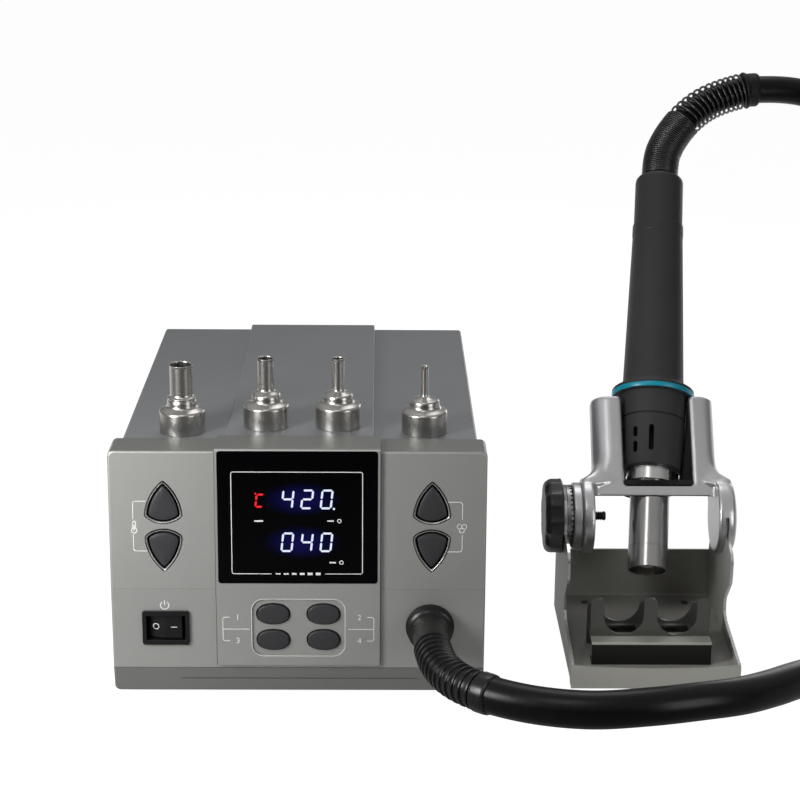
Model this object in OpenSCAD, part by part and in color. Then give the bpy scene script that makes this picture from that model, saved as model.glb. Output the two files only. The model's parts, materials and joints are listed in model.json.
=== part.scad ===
// Hot air rework station: console, tool stand, handle and hose. Sizes in millimetres.
// Every sub-part is one module below, placed where it sits in the assembled station.

/* [Console] */
// Width of the front bezel
body_w = 188; // [150:1:240]
// Height of the bezel's top ledge above the table
body_h = 133; // [110:1:170]
// Depth from the front crease to the back of the cover
body_d = 249; // [180:1:300]
// Depth of the front bezel
ledge_d = 24; // [16:0.5:40]
// Thickness of the bezel's walls
bezel_wall = 3; // [2:0.1:5]
// How far the front leans back at its top
face_setback = 3.7; // [0:0.1:10]
// Height of the crease across the front
crease_z = 61.5; // [50:0.5:75]
// Height of the kick strip at the bottom of the front
kick_z = 18.5; // [12:0.5:24]
// How far the kick strip slopes back
kick_setback = 2.5; // [0:0.1:5]
// Step in from the bezel's side to the cover
cover_inset = 3.6; // [3:0.1:8]
// Sheet thickness of cover, tray and rear panel
sheet = 1.2; // [0.8:0.1:2]
// Width of the raised strip on the cover
strip_w = 75; // [50:1:110]
// Height of the raised strip
strip_h = 3; // [1:0.1:5]
// Height of the console's rubber feet
foot_h = 4.5; // [3:0.1:10]
// Radius of the console's rubber feet
foot_r = 8.5; // [5:0.5:14]

/* [Front panel] */
// Width of the centre fascia
fascia_w = 82; // [70:1:100]
// How far the fascia stands proud
fascia_proud = 1.8; // [1:0.1:3]
// Height of the fascia's lower edge
fascia_low = 20.5; // [18:0.5:24]
// Width of the display window
window_w = 79.4; // [60:0.2:80]
// Height of the display window along the face
window_h = 68.4; // [50:0.2:69]
// Height of the window's lower edge above the crease
window_low = 3.6; // [3:0.1:6]
// Thickness of the display window
window_t = 1.2; // [0.8:0.1:1.6]
// Width of the display module behind the window
module_w = 66; // [50:1:70]
// Height of the display module
module_h = 54; // [40:1:58]
// Sideways distance of the shield buttons from the centre
shield_x = 66.8; // [60:0.2:70]
// Height of the upper shield buttons along the face above the crease
shield_up_z = 45.2; // [43:0.2:48]
// Height of the lower shield buttons along the face above the crease
shield_down_z = 20.2; // [18:0.2:22]
// Radius of a shield button's side arcs at the rim
shield_side_r = 25.4; // [20:0.1:30]
// Radius of a shield button's base arc at the rim
shield_base_r = 12.9; // [10:0.1:16]
// Width of the raised rim round a shield button
shield_rim = 1.45; // [1:0.05:2]
// Gap between a button and its hole
button_gap = 0.4; // [0.3:0.05:0.6]
// Travel of the shield buttons
shield_travel = 1.2; // [0.6:0.1:1.5]
// Width of a channel key
key_w = 16; // [12:0.2:18]
// Height of a channel key
key_h = 10.4; // [8:0.2:12]
// Sideways distance of the channel keys from the centre
key_x = 12.65; // [11:0.05:14]
// Height of the upper channel keys
key_up_z = 48.35; // [46:0.05:50]
// Height of the lower channel keys
key_down_z = 34.35; // [32:0.05:36]
// Travel of the channel keys
key_travel = 1; // [0.5:0.1:1.4]
// Width of the recess round the channel keys
recess_w = 47; // [44:0.5:60]
// Height of the recess
recess_h = 31; // [29:0.5:36]
// Height of the recess's centre
recess_z = 41.2; // [38:0.1:44]
// Depth of the recess
recess_deep = 1; // [0.5:0.1:1.2]

/* [Power switch] */
// Sideways distance of the switch from the centre
switch_x = 66.75; // [60:0.25:70]
// Height of the switch's centre
switch_z = 40.6; // [36:0.2:44]
// Width of the switch bezel
switch_w = 23.7; // [20:0.1:28]
// Height of the switch bezel
switch_h = 18.2; // [14:0.1:22]
// Width of the rocker
rocker_w = 18.6; // [14:0.1:20]
// Height of the rocker
rocker_h = 12.4; // [10:0.1:14]
// Angle of the rocker to each side
rocker_tilt = 8; // [5:0.5:10]

/* [Hose] */
// Outside diameter of the hose at the console
hose_d = 18.2; // [14:0.1:20]
// Outside diameter of the hose at the handle
hose_top_d = 16; // [14:0.1:20]
// Sideways place of the hose gland
gland_x = 66.3; // [60:0.1:70]
// Height of the hose gland
gland_z = 41.3; // [38:0.1:44]
// Outside diameter of the gland nut
gland_d = 24.5; // [22:0.1:30]
// Length of the gland nut
gland_len = 5; // [4:0.1:8]
// Outside diameter of the ribs on the hose boot
boot_d = 19; // [18:0.1:22]

/* [Nozzles] */
// Outside diameter of a nozzle's body
nozzle_d = 23.4; // [22:0.1:26]
// Clearance between the nozzles and the heater tube
nozzle_fit = 0.15; // [0.1:0.05:0.3]
// Height of a nozzle's body
nozzle_body_h = 10.8; // [8:0.2:14]
// Height of the widest nozzle
nozzle_h = 35.5; // [30:0.5:45]
// Distance of the standing nozzles behind the front
nozzle_y = 47; // [40:0.5:60]
// Outside diameter of the widest nozzle tip
tip_1_d = 11.8; // [11:0.1:14]
// Outside diameter of the second nozzle tip
tip_2_d = 8.6; // [8:0.1:11]
// Outside diameter of the third nozzle tip
tip_3_d = 6.4; // [5:0.1:9]
// Outside diameter of the finest nozzle tip
tip_4_d = 3.6; // [3:0.1:6]

/* [Stand] */
// Left face of the stand, from the console's middle
stand_x = 140.4; // [120:0.1:180]
// Front face of the stand's lip, from the console's front
stand_y = 15; // [0:0.5:40]
// Width of the stand
stand_w = 87.9; // [84:0.5:96]
// Depth of the stand
stand_d = 105; // [95:1:130]
// Sheet thickness of the stand
stand_sheet = 1.5; // [1.2:0.1:2]
// Height of the lip
lip_h = 13; // [11:0.5:20]
// Height of the stand's floor
floor_z = 8; // [6:0.5:10]
// Height of the back wall
back_h = 37; // [30:1:50]
// Height of the tilt pivot above the table
pivot_z = 67; // [64:0.5:80]
// Distance of the tilt pivot behind the lip
pivot_back = 77; // [70:0.5:84]
// Radius of the side plates' lugs
lug_r = 17; // [14:0.5:18]
// Radius of the stand's rubber feet
stand_foot_r = 6; // [4:0.5:8]
// Height of the stand's rubber feet
stand_foot_h = 2.4; // [2:0.1:4]
// Thickness of the ballast plate
ballast_t = 5.2; // [3:0.1:5.4]
// Width of the nozzle rack
rack_w = 62.4; // [56:0.2:70]
// Width of a notch in the rack
notch_w = 20.9; // [16:0.1:22]
// Height of the rack's shelf
rack_shelf = 20.6; // [16:0.2:26]
// Height of the rack's front tines
rack_top = 43; // [36:0.5:48]
// Sheet thickness of the rack
rack_sheet = 1.2; // [0.8:0.1:1.6]

/* [Yoke and clamp] */
// Lean of the handle back from upright
lean = 37; // [20:1:50]
// Radius of the yoke's cheeks
cheek_r = 20.5; // [18:0.5:22]
// Thickness of the left cheek
cheek_t = 6.2; // [5:0.1:9]
// Thickness of the right cheek's outer leaf
leaf_t = 4.2; // [3:0.1:8]
// Thickness of the right cheek's inner leaf
inner_leaf_t = 3.2; // [2.5:0.1:6]
// Width of an arm
arm_w = 14; // [10:0.1:18]
// Depth of an arm
arm_deep = 24; // [18:0.5:28]
// Height of the arms above the pivot
arm_top = 65.8; // [60:0.1:75]
// Gap between the left arm and the sleeve
left_gap = 1; // [0.8:0.1:2]
// Gap between the right arm and the sleeve
right_gap = 1.7; // [0.8:0.1:2.5]
// Thickness of the crossbar at its front
bar_t = 6.3; // [4:0.1:8]
// Height of the crossbar's lower edge above the pivot
bar_z = 7.7; // [6:0.1:12]
// Radius of the clamp screw
screw_r = 2.5; // [2:0.1:3]
// Radius of the pivot pin
pin_r = 3; // [2.5:0.1:4]
// Running clearance of the pivot
pivot_fit = 0.08; // [0.05:0.01:0.1]
// Diameter of the clamp knob
knob_d = 41; // [34:0.1:46]
// Thickness of the clamp knob
knob_t = 9.8; // [8:0.1:14]

/* [Handle] */
// Sideways lean of the handle in its seat
handle_roll = 4.2; // [0:0.1:4.5]
// Diameter of the heater tube
tube_d = 21.5; // [21:0.1:23]
// Length of the tube's end that the nozzles sit on
tube_seat = 12; // [10:0.5:16]
// Reach of the heater tube below the pivot
tube_low = 31.2; // [28:0.1:36]
// Diameter of the metal collar
collar_d = 25; // [24:0.1:27]
// Diameter of the nose sleeve at its nozzle end
sleeve_low_d = 33.7; // [32:0.1:35]
// Diameter of the nose sleeve at its flange end
sleeve_top_d = 38; // [37:0.1:40]
// Diameter of the teal ring
ring_d = 46; // [43:0.1:48]
// Thickness of the teal ring
ring_t = 2.6; // [1.5:0.1:3]
// Diameter of the grip above the flange
grip_low_d = 34; // [32:0.1:36]
// Diameter of the grip at its cap
grip_top_d = 29; // [27:0.1:31]
// Diameter of the grip cap
cap_d = 27.4; // [26:0.1:30]
// Length of the grip from the flange to the cap
grip_len = 92.4; // [80:0.1:110]
// Length of the grip cap
cap_len = 37.6; // [30:0.2:45]
// Diameter of the bend guard spring
spring_d = 21.2; // [20:0.1:23]

/* [Hidden] */
$fn = 48;
eps = 0.01;
seat = 0.3;

// Derived places
half_w = body_w / 2;
cover_half = half_w - cover_inset;
cover_top = body_h - bezel_wall - seat;
tilt_a = atan(face_setback / (body_h - crease_z));
face_len = (body_h - crease_z) / cos(tilt_a);
inlet_proud = 3;
board_y = 16;
board_t = 1.6;
board_half = half_w - 12;
board_top = body_h - 9;
rear_y = body_d - 2.5;
tray_half = cover_half - sheet - seat;
screw_ys = [60, body_d - 59];
foot_x = half_w - 22;
foot_ys = [34, body_d - 31];
pivot_y = stand_y + pivot_back;
stand_right = stand_x + stand_w;
handle_x = 192.6;
sleeve_r = sleeve_top_d / 2;
arm_in_l = handle_x - sleeve_r - left_gap;
arm_in_r = handle_x + sleeve_r + right_gap;
washer_x = stand_x + stand_sheet;
washer_t = 3.2;
disc_t = 5.2;
disc_x = washer_x + washer_t + seat;
cheek_x = disc_x + disc_t;
slot_l = stand_right - stand_sheet - seat;
slot_r = stand_right + seat;
fork_l = slot_l - inner_leaf_t;
fork_r = slot_r + leaf_t;
pad_z = bar_z + bar_t;
pad_t = 2.7;
roll_z = 62;
seat_x = handle_x - (roll_z - pad_z) * tan(handle_roll);
collar_z = pad_z + pad_t + seat + collar_d / 2 * sin(handle_roll);
collar_len = 7.2;
sleeve_z = collar_z + collar_len;
ring_z = arm_top + seat + ring_d / 2 * sin(handle_roll);
flange_t = 4;
grip_z = ring_z + ring_t + flange_t;
cap_z = grip_z + grip_len;
cap_top = cap_z + cap_len;
duct_r = 9;
duct_wall = 1.5;
blower_x = 38;
blower_z = 62;
blower_y = 124;
// The assembly's origin: middle of its footprint, on the table
origin_x = (fork_r - half_w) / 2;
origin_y = (body_d + inlet_proud - gland_len) / 2;

module place() translate([-origin_x, -origin_y, 0]) children();

// Local frames: the leaning upper face, and the handle's axis through the pivot
module face() translate([0, 0, crease_z]) rotate([-tilt_a, 0, 0]) children();
module axis() translate([0, pivot_y, pivot_z]) rotate([-lean, 0, 0]) children();

module xcyl(r, x0, x1) translate([x0, 0, 0]) rotate([0, 90, 0]) cylinder(r = r, h = x1 - x0);
module ycyl(r, y0, y1) translate([0, y0, 0]) rotate([-90, 0, 0]) cylinder(r = r, h = y1 - y0);
module block(a, b) translate(a) cube(b - a);
module xprofile(pts, x0, x1)
  translate([x0, 0, 0]) rotate([90, 0, 90]) linear_extrude(x1 - x0) polygon(pts);

// Plate in the XZ plane with round corners, from y0 to y1
module yplate(w, h, r, y0, y1) {
  block([-w / 2 + r, y0, -h / 2], [w / 2 - r, y1, h / 2]);
  block([-w / 2, y0, -h / 2 + r], [w / 2, y1, h / 2 - r]);
  for (sx = [-1, 1], sz = [-1, 1])
    translate([sx * (w / 2 - r), 0, sz * (h / 2 - r)]) ycyl(r, y0, y1);
}

// Rounded triangle of the shield buttons, grown by d; up is 1 or -1
module shield(d, y0, y1, up) {
  mirror([0, 0, up > 0 ? 0 : 1]) intersection() {
    translate([16.1, 0, -8.7]) ycyl(shield_side_r + d, y0, y1);
    translate([-16.1, 0, -8.7]) ycyl(shield_side_r + d, y0, y1);
    translate([0, 0, 1.93]) ycyl(shield_base_r + d, y0, y1);
  }
}

module stadium(d, y0, y1) {
  r = key_h / 2 + d;
  s = (key_w - key_h) / 2;
  block([-s, y0, -r], [s, y1, r]);
  for (x = [-s, s]) translate([x, 0, 0]) ycyl(r, y0, y1);
}

module at_shields() {
  for (x = [-shield_x, shield_x]) {
    translate([x, 0, shield_up_z]) children(0);
    translate([x, 0, shield_down_z]) children(1);
  }
}
module at_keys()
  for (x = [-key_x, key_x], z = [key_up_z, key_down_z]) translate([x, 0, z]) children();

// Front bezel
function front_y(z) = z > crease_z ? (z - crease_z) * tan(tilt_a)
  : z > kick_z ? 0 : (kick_z - z) / (kick_z - foot_h) * kick_setback;
bezel_line = [[front_y(body_h), body_h], [0, crease_z], [0, kick_z], [kick_setback, foot_h]];
bezel_in = [[front_y(body_h) + bezel_wall, body_h - bezel_wall], [bezel_wall, crease_z],
  [bezel_wall, kick_z], [kick_setback + bezel_wall, foot_h + bezel_wall]];

module front_bezel() place() color([0.62, 0.63, 0.62]) {
  difference() {
    intersection() {
      xprofile(concat([[ledge_d, foot_h], [ledge_d, body_h]], bezel_line), -half_w, half_w);
      translate([0, 0, (body_h + foot_h) / 2]) yplate(body_w, body_h - foot_h, 3, -1, ledge_d + 1);
    }
    xprofile(concat([[ledge_d + 1, foot_h + bezel_wall], [ledge_d + 1, body_h - bezel_wall]],
      bezel_in), -half_w + bezel_wall, half_w - bezel_wall);
    face() {
      at_shields() {
        shield(-shield_rim, -3, 9, 1);
        shield(-shield_rim, -3, 9, -1);
      }
      translate([0, 0, window_low + window_h / 2])
        block([-module_w / 2 - seat, -3, -module_h / 2 - seat],
          [module_w / 2 + seat, 9, module_h / 2 + seat]);
    }
    at_keys() stadium(button_gap, -3, 9);
    translate([-switch_x, 0, switch_z])
      block([-switch_w / 2 + 1, -3, -switch_h / 2 + 1], [switch_w / 2 - 1, 9, switch_h / 2 - 1]);
    translate([gland_x, 0, gland_z]) ycyl(duct_r + 0.3, -3, 9);
    block([-half_w - 1, -1, 11.6], [half_w + 1, 0.9, 12.4]);
  }
  face() at_shields() {
    difference() { shield(0, -0.6, 0.4, 1); shield(-shield_rim, -3, 9, 1); }
    difference() { shield(0, -0.6, 0.4, -1); shield(-shield_rim, -3, 9, -1); }
  }
}

// Centre fascia, bent over the ledge
fascia_out = [for (p = [[front_y(body_h), body_h], [0, crease_z]]) [p[0] - fascia_proud, p[1]]];
module centre_fascia() place() color([0.55, 0.56, 0.55]) difference() {
  xprofile([[0, fascia_low], [0, crease_z], [front_y(body_h), body_h], [ledge_d, body_h],
    [ledge_d, body_h + fascia_proud], [front_y(body_h) - fascia_proud, body_h + fascia_proud],
    [-fascia_proud, crease_z], [-fascia_proud, fascia_low]], -fascia_w / 2, fascia_w / 2);
  face() translate([0, 0, window_low + window_h / 2]) {
    yplate(window_w + 0.4, window_h + 0.4, 1.5, -fascia_proud - 1, -fascia_proud + window_t);
    block([-module_w / 2 - seat, -3, -module_h / 2 - seat],
      [module_w / 2 + seat, 9, module_h / 2 + seat]);
  }
  translate([0, 0, recess_z]) yplate(recess_w, recess_h, 6, -3, -fascia_proud + recess_deep);
  at_keys() stadium(button_gap, -3, 9);
}

module display_window() place() color([0.03, 0.03, 0.05])
  face() translate([0, 0, window_low + window_h / 2])
    yplate(window_w, window_h, 1.3, -fascia_proud, -fascia_proud + window_t - eps);

module display_module() place() color([0.1, 0.1, 0.12]) {
  face() translate([0, 0, window_low + window_h / 2]) difference() {
    block([-module_w / 2, 0, -module_h / 2], [module_w / 2, 9, module_h / 2]);
    block([-module_w / 2 + 2, -1, -module_h / 2 + 2], [module_w / 2 - 2, 1.2, module_h / 2 - 2]);
  }
  for (x = [-28, 28], z = [76, board_top - 6]) translate([x, 0, z]) ycyl(2, 9, board_y - 0.05);
}

module tact(x, y, z) translate([x, 0, z]) {
  block([-3, y + 1, -3], [3, board_y, 3]);
  ycyl(1.7, y, y + 1);
}
shield_face = 1;
flange_gap = 0.3;
stem_end = 10.2;
module front_board() place() color([0.1, 0.35, 0.2]) difference() {
  union() {
    block([-board_half, board_y, 66], [board_half, board_y + board_t, board_top]);
    block([-30, board_y, 26], [30, board_y + board_t, 66]);
    for (x = [-shield_x, shield_x]) {
      for (z = [shield_up_z, shield_down_z])
        tact(x, stem_end * cos(tilt_a) + z * sin(tilt_a) + shield_travel + 0.1,
          crease_z + z * cos(tilt_a) - stem_end * sin(tilt_a));
    }
    for (x = [-key_x, key_x], z = [key_up_z, key_down_z]) tact(x, stem_end + key_travel + 0.1, z);
    for (x = [-22, 22]) block([x - 6, board_y + board_t, 90], [x + 6, board_y + board_t + 6, 96]);
  }
  for (x = [-board_half + 4, board_half - 4], z = [70, board_top - 4])
    translate([x, 0, z]) ycyl(1.6, board_y - 1, board_y + 3);
}

// Shield button: cap through the bezel, flange behind it, stem to the switch
module shield_button(x, z, up) face() translate([x, 0, z]) {
  shield(-shield_rim - button_gap, -shield_face, bezel_wall + flange_gap + 1, up);
  shield(-0.6, bezel_wall + flange_gap, bezel_wall + flange_gap + 1.2, up);
  ycyl(2.4, bezel_wall, stem_end);
}
module temp_up_button() place() color([0.18, 0.18, 0.18]) shield_button(-shield_x, shield_up_z, 1);
module temp_down_button() place() color([0.18, 0.18, 0.18]) shield_button(-shield_x, shield_down_z, -1);
module air_up_button() place() color([0.18, 0.18, 0.18]) shield_button(shield_x, shield_up_z, 1);
module air_down_button() place() color([0.18, 0.18, 0.18]) shield_button(shield_x, shield_down_z, -1);

// Channel key
module channel_key(x, z) translate([x, 0, z]) {
  stadium(0, -fascia_proud - 0.7, bezel_wall + flange_gap + 1);
  stadium(1, bezel_wall + flange_gap, bezel_wall + flange_gap + 1.2);
  ycyl(2.4, bezel_wall, stem_end);
}
module channel_1_key() place() color([0.2, 0.2, 0.2]) channel_key(-key_x, key_up_z);
module channel_2_key() place() color([0.2, 0.2, 0.2]) channel_key(key_x, key_up_z);
module channel_3_key() place() color([0.2, 0.2, 0.2]) channel_key(-key_x, key_down_z);
module channel_4_key() place() color([0.2, 0.2, 0.2]) channel_key(key_x, key_down_z);

// Power switch: the rocker tips about an upright axis
rocker_y = 5;
module switch_housing() place() color([0.08, 0.08, 0.08]) translate([-switch_x, 0, switch_z])
  difference() {
    union() {
      yplate(switch_w, switch_h, 1.2, -1.6, 0);
      block([-switch_w / 2 + 1.2, -1, -switch_h / 2 + 1.2], [switch_w / 2 - 1.2, 20, switch_h / 2 - 1.2]);
      for (x = [-6, 0, 6]) block([x - 0.4, 19, -3.2], [x + 0.4, 27, 3.2]);
    }
    block([-rocker_w / 2 - 0.5, -3, -rocker_h / 2 - 0.4], [rocker_w / 2 + 0.5, 13, rocker_h / 2 + 0.4]);
    translate([0, rocker_y, -rocker_h / 2 - 1.5]) cylinder(r = 1.5 + pivot_fit, h = rocker_h + 3);
  }

module power_rocker() place() color([0.1, 0.1, 0.1])
  translate([-switch_x, rocker_y, switch_z - rocker_h / 2]) rotate([0, 0, -rocker_tilt]) {
    difference() {
      linear_extrude(rocker_h) polygon([[-rocker_w / 2 + 0.4, -3.8], [0, -5.2], [rocker_w / 2 - 0.4, -3.8],
        [rocker_w / 2 - 1.2, 2.2], [3, 4.6], [-3, 4.6], [-rocker_w / 2 + 1.2, 2.2]]);
    }
    translate([0, 0, -1.2]) cylinder(r = 1.5, h = rocker_h + 2.4);
  }

// Shell
module strip_profile(x, z, y0, y1) block([-x, y0, cover_top - 4], [x, y1, z]);
cover_front = 12;
module top_cover() place() color([0.5, 0.51, 0.53]) difference() {
  union() {
    block([-cover_half, cover_front, foot_h + 5], [cover_half, body_d, cover_top]);
    block([-strip_w / 2, ledge_d + seat, cover_top - eps], [strip_w / 2, body_d, cover_top + strip_h]);
  }
  block([-cover_half + sheet, 0, 0], [cover_half - sheet, body_d + 1, cover_top - sheet]);
  block([-strip_w / 2 + sheet, ledge_d + seat + sheet, cover_top - 2 * sheet],
    [strip_w / 2 - sheet, body_d + 1, cover_top + strip_h - sheet]);
  for (y = screw_ys, s = [-1, 1])
    translate([s * cover_half, y, 14]) xcyl(1.7, -6, 6);
}

module base_tray() place() color([0.45, 0.46, 0.47]) difference() {
  block([-tray_half, 8, foot_h + bezel_wall], [tray_half, rear_y - seat, 28]);
  block([-tray_half + sheet, 7, foot_h + bezel_wall + sheet], [tray_half - sheet, rear_y + 1, 29]);
  block([-tray_half - 1, 7, 22], [tray_half + 1, ledge_d + 4, 29]);
  for (y = screw_ys, s = [-1, 1])
    translate([s * tray_half, y, 14]) xcyl(1.3, -4, 4);
  for (x = [-40 : 10 : 40]) block([x - 1.5, 90, 0], [x + 1.5, 120, 20]);
}

inlet_x = -58;
inlet_z = 90;
module rear_panel() place() color([0.45, 0.46, 0.47]) difference() {
  union() {
    block([-tray_half, rear_y, foot_h + bezel_wall], [tray_half, rear_y + 1.5, cover_top - sheet - seat]);
  }
  block([inlet_x - 13.8, rear_y - 1, inlet_z - 10.3], [inlet_x + 13.8, rear_y + 3, inlet_z + 10.3]);
  for (k = [0 : 9]) block([10 + k * 7, rear_y - 1, 40], [13 + k * 7, rear_y + 3, 84]);
  for (x = [-tray_half + 8.9, tray_half - 8.9], z = [20, body_h - 21])
    translate([x, 0, z]) ycyl(1.7, rear_y - 1, rear_y + 3);
}

module mains_inlet() place() color([0.07, 0.07, 0.07]) translate([inlet_x, rear_y + 1.5, inlet_z]) {
  difference() {
    union() {
      yplate(31, 24, 2, 0, body_d + inlet_proud - rear_y - 1.5);
      block([-13.5, -20, -10], [13.5, 0, 10]);
    }
    block([-12, -15, -8.2], [12, 9, 8.2]);
  }
  for (p = [[-7, -2], [0, 2.5], [7, -2]]) block([p[0] - 1, -16, p[1] - 2], [p[0] + 1, -1, p[1] + 2]);
  for (x = [-6, 0, 6]) block([x - 0.4, -27, -3.2], [x + 0.4, -19, 3.2]);
}

module console_feet() place() color([0.08, 0.08, 0.08])
  for (x = [-foot_x, foot_x], y = foot_ys) translate([x, y, 0]) {
    cylinder(r1 = foot_r - 1, r2 = foot_r, h = foot_h + bezel_wall);
  }

module cover_screws() place() color([0.7, 0.7, 0.7]) {
  for (y = screw_ys, s = [-1, 1]) translate([0, y, 14]) mirror([s < 0 ? 1 : 0, 0, 0]) {
    difference() {
      xcyl(3, cover_half, cover_half + 1.8);
      xcyl(1.2, cover_half + 1, cover_half + 3);
    }
    xcyl(1.25, cover_half - 5, cover_half + 0.5);
  }
}

// Blower: scroll housing, fan wheel on its shaft, motor and the duct to the gland
fan_r = 33;
scroll_r = 41;
scroll_y1 = blower_y + 34;
module blower_housing() place() color([0.15, 0.15, 0.16]) difference() {
  union() {
    translate([blower_x, 0, blower_z]) ycyl(scroll_r, blower_y, scroll_y1);
    block([gland_x - 12, 104, gland_z - 12], [gland_x + 12, scroll_y1, gland_z + 16]);
    block([blower_x - 30, blower_y + 4, foot_h + bezel_wall + sheet],
      [blower_x + 14, scroll_y1 - 4, blower_z - 26]);
  }
  translate([blower_x, 0, blower_z]) {
    ycyl(scroll_r - 2.5, blower_y + 2.5, scroll_y1 - 2.5);
    ycyl(15, blower_y - 1, blower_y + 3);
    ycyl(5, scroll_y1 - 4, scroll_y1 + 1);
  }
  block([gland_x - 9.5, 106.5, gland_z - 9.5], [gland_x + 9.5, scroll_y1 - 2.5, gland_z + 12]);
  translate([gland_x, 0, gland_z]) ycyl(duct_r + duct_wall + 0.05, 103, 108);
  block([blower_x - 26, blower_y, foot_h], [blower_x + 10, scroll_y1, blower_z - 40]);
}

module blower_impeller() place() color([0.75, 0.75, 0.78]) translate([blower_x, 0, blower_z]) {
  difference() {
    union() {
      ycyl(fan_r, blower_y + 27, blower_y + 28.5);
      ycyl(7, blower_y + 14, blower_y + 28);
      for (a = [0 : 30 : 330]) rotate([0, a, 0])
        block([7, blower_y + 8, -0.8], [fan_r - 1, blower_y + 27.5, 0.8]);
    }
    ycyl(16.5, blower_y - 1, blower_y + 13.9);
  }
  ycyl(2.5, blower_y + 20, scroll_y1 + 30);
}

module blower_motor() place() color([0.3, 0.31, 0.33]) translate([blower_x, 0, blower_z])
  difference() {
    union() {
      ycyl(18, scroll_y1, scroll_y1 + 40);
      ycyl(8, scroll_y1 + 40, scroll_y1 + 43);
    }
    ycyl(2.5 + pivot_fit, scroll_y1 - 1, scroll_y1 + 32);
  }

module air_duct() place() color([0.1, 0.1, 0.1]) translate([gland_x, 0, gland_z]) difference() {
  ycyl(duct_r + duct_wall, 9, 106.4);
  ycyl(duct_r, 8, 107);
}

module main_board() place() color([0.1, 0.35, 0.2]) {
  difference() {
    block([-80, 60, 15], [0, 170, 16.6]);
    for (x = [-76, -4], y = [64, 166]) translate([x, y, 14]) cylinder(r = 1.6, h = 4);
  }
  for (x = [-76, -4], y = [64, 166]) translate([x, y, foot_h + bezel_wall + sheet]) difference() {
    cylinder(r = 3, h = 15 - foot_h - bezel_wall - sheet + eps);
    translate([0, 0, 1]) cylinder(r = 1.2, h = 20);
  }
  for (p = [[-66, 150, 8, 18], [-46, 152, 6, 14], [-30, 152, 6, 14]])
    translate([p[0], p[1], 16.5]) cylinder(r = p[2], h = p[3]);
  for (p = [[-72, 70, 20, 12, 9], [-46, 66, 12, 12, 4], [-24, 64, 18, 8, 8], [-20, 84, 12, 20, 6]])
    block([p[0], p[1], 16.5], [p[0] + p[2], p[1] + p[3], 16.5 + p[4]]);
}

module heat_sink() place() color([0.7, 0.71, 0.73]) {
  block([-70, 96, 17], [-34, 130, 20]);
  for (k = [0 : 8]) block([-70 + k * 4.3, 96, 19.5], [-68.4 + k * 4.3, 130, 44]);
}

trafo_x = -tray_half + 36.9;
trafo_y = rear_y - 40.5;
module transformer() place() color([0.35, 0.25, 0.15]) translate([trafo_x, trafo_y, 0]) {
  block([-30, -20, foot_h + bezel_wall + sheet], [30, 20, 22]);
  difference() {
    block([-24, -20, 21.9], [24, 20, 62]);
    block([-25, -21, 30], [25, -16, 54]);
    block([-25, 16, 30], [25, 21, 54]);
  }
  block([-12, -26, 31], [12, 26, 53]);
}

// Gland nut outside, neck through the bezel into the duct
module hose_gland() place() color([0.1, 0.1, 0.1]) translate([gland_x, 0, gland_z]) difference() {
  union() {
    ycyl(gland_d / 2, -gland_len, 0);
    ycyl(duct_r, -gland_len, 13);
  }
  ycyl(duct_r - 2.5, -gland_len + 2.5, 14);
}

// Cord solids: a tube swept along a smooth line through hand-chosen points
function dotp(a, b) = a[0] * b[0] + a[1] * b[1] + a[2] * b[2];
function unit(v) = v / norm(v);
function crom(a, b, c, d, t) = 0.5 * (2 * b + (c - a) * t + (2 * a - 5 * b + 4 * c - d) * t * t
  + (3 * b - a - 3 * c + d) * t * t * t);
function along(p, u) = let (n = len(p) - 1, i = min(floor(u), n - 1), t = u - i)
  crom(p[max(i - 1, 0)], p[i], p[i + 1], p[min(i + 2, n)], t);
function slope(p, u) = let (n = len(p) - 1)
  unit(along(p, min(u + 0.02, n)) - along(p, max(u - 0.02, 0)));
side_ref = [0, -cos(lean), sin(lean)];
function side_u(t) = unit(cross(t, side_ref));
function side_v(t) = cross(t, side_u(t));
function ring(c, t, r, n) = let (u = side_u(t), v = side_v(t))
  [for (k = [0 : n - 1]) c + r * cos(360 * k / n) * u + r * sin(360 * k / n) * v];
module tube(rings) {
  m = len(rings);
  n = len(rings[0]);
  polyhedron(points = [for (q = rings) for (p = q) p], faces = concat(
    [[for (k = [0 : n - 1]) k]],
    [for (j = [0 : m - 2]) for (k = [0 : n - 1])
      [j * n + k, (j + 1) * n + k, (j + 1) * n + (k + 1) % n, j * n + (k + 1) % n]],
    [[for (k = [n - 1 : -1 : 0]) (m - 1) * n + k]]));
}
// us is a list of places along the points, rs the radius at each
module sweep(p, us, rs, n)
  tube([for (j = [0 : len(us) - 1]) ring(along(p, us[j]), slope(p, us[j]), rs[j], n)]);
// A pipe: an outer and an inner skin joined at both ends
module pipe(p, us, rs, ri, n) difference() {
  sweep(p, us, rs, n);
  sweep(p, concat([us[0] - 0.02], [for (k = [1 : 11]) us[0] + (us[len(us) - 1] - us[0]) * k / 12],
    [us[len(us) - 1] + 0.02]), [for (k = [0 : 12]) ri], n);
}

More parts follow.
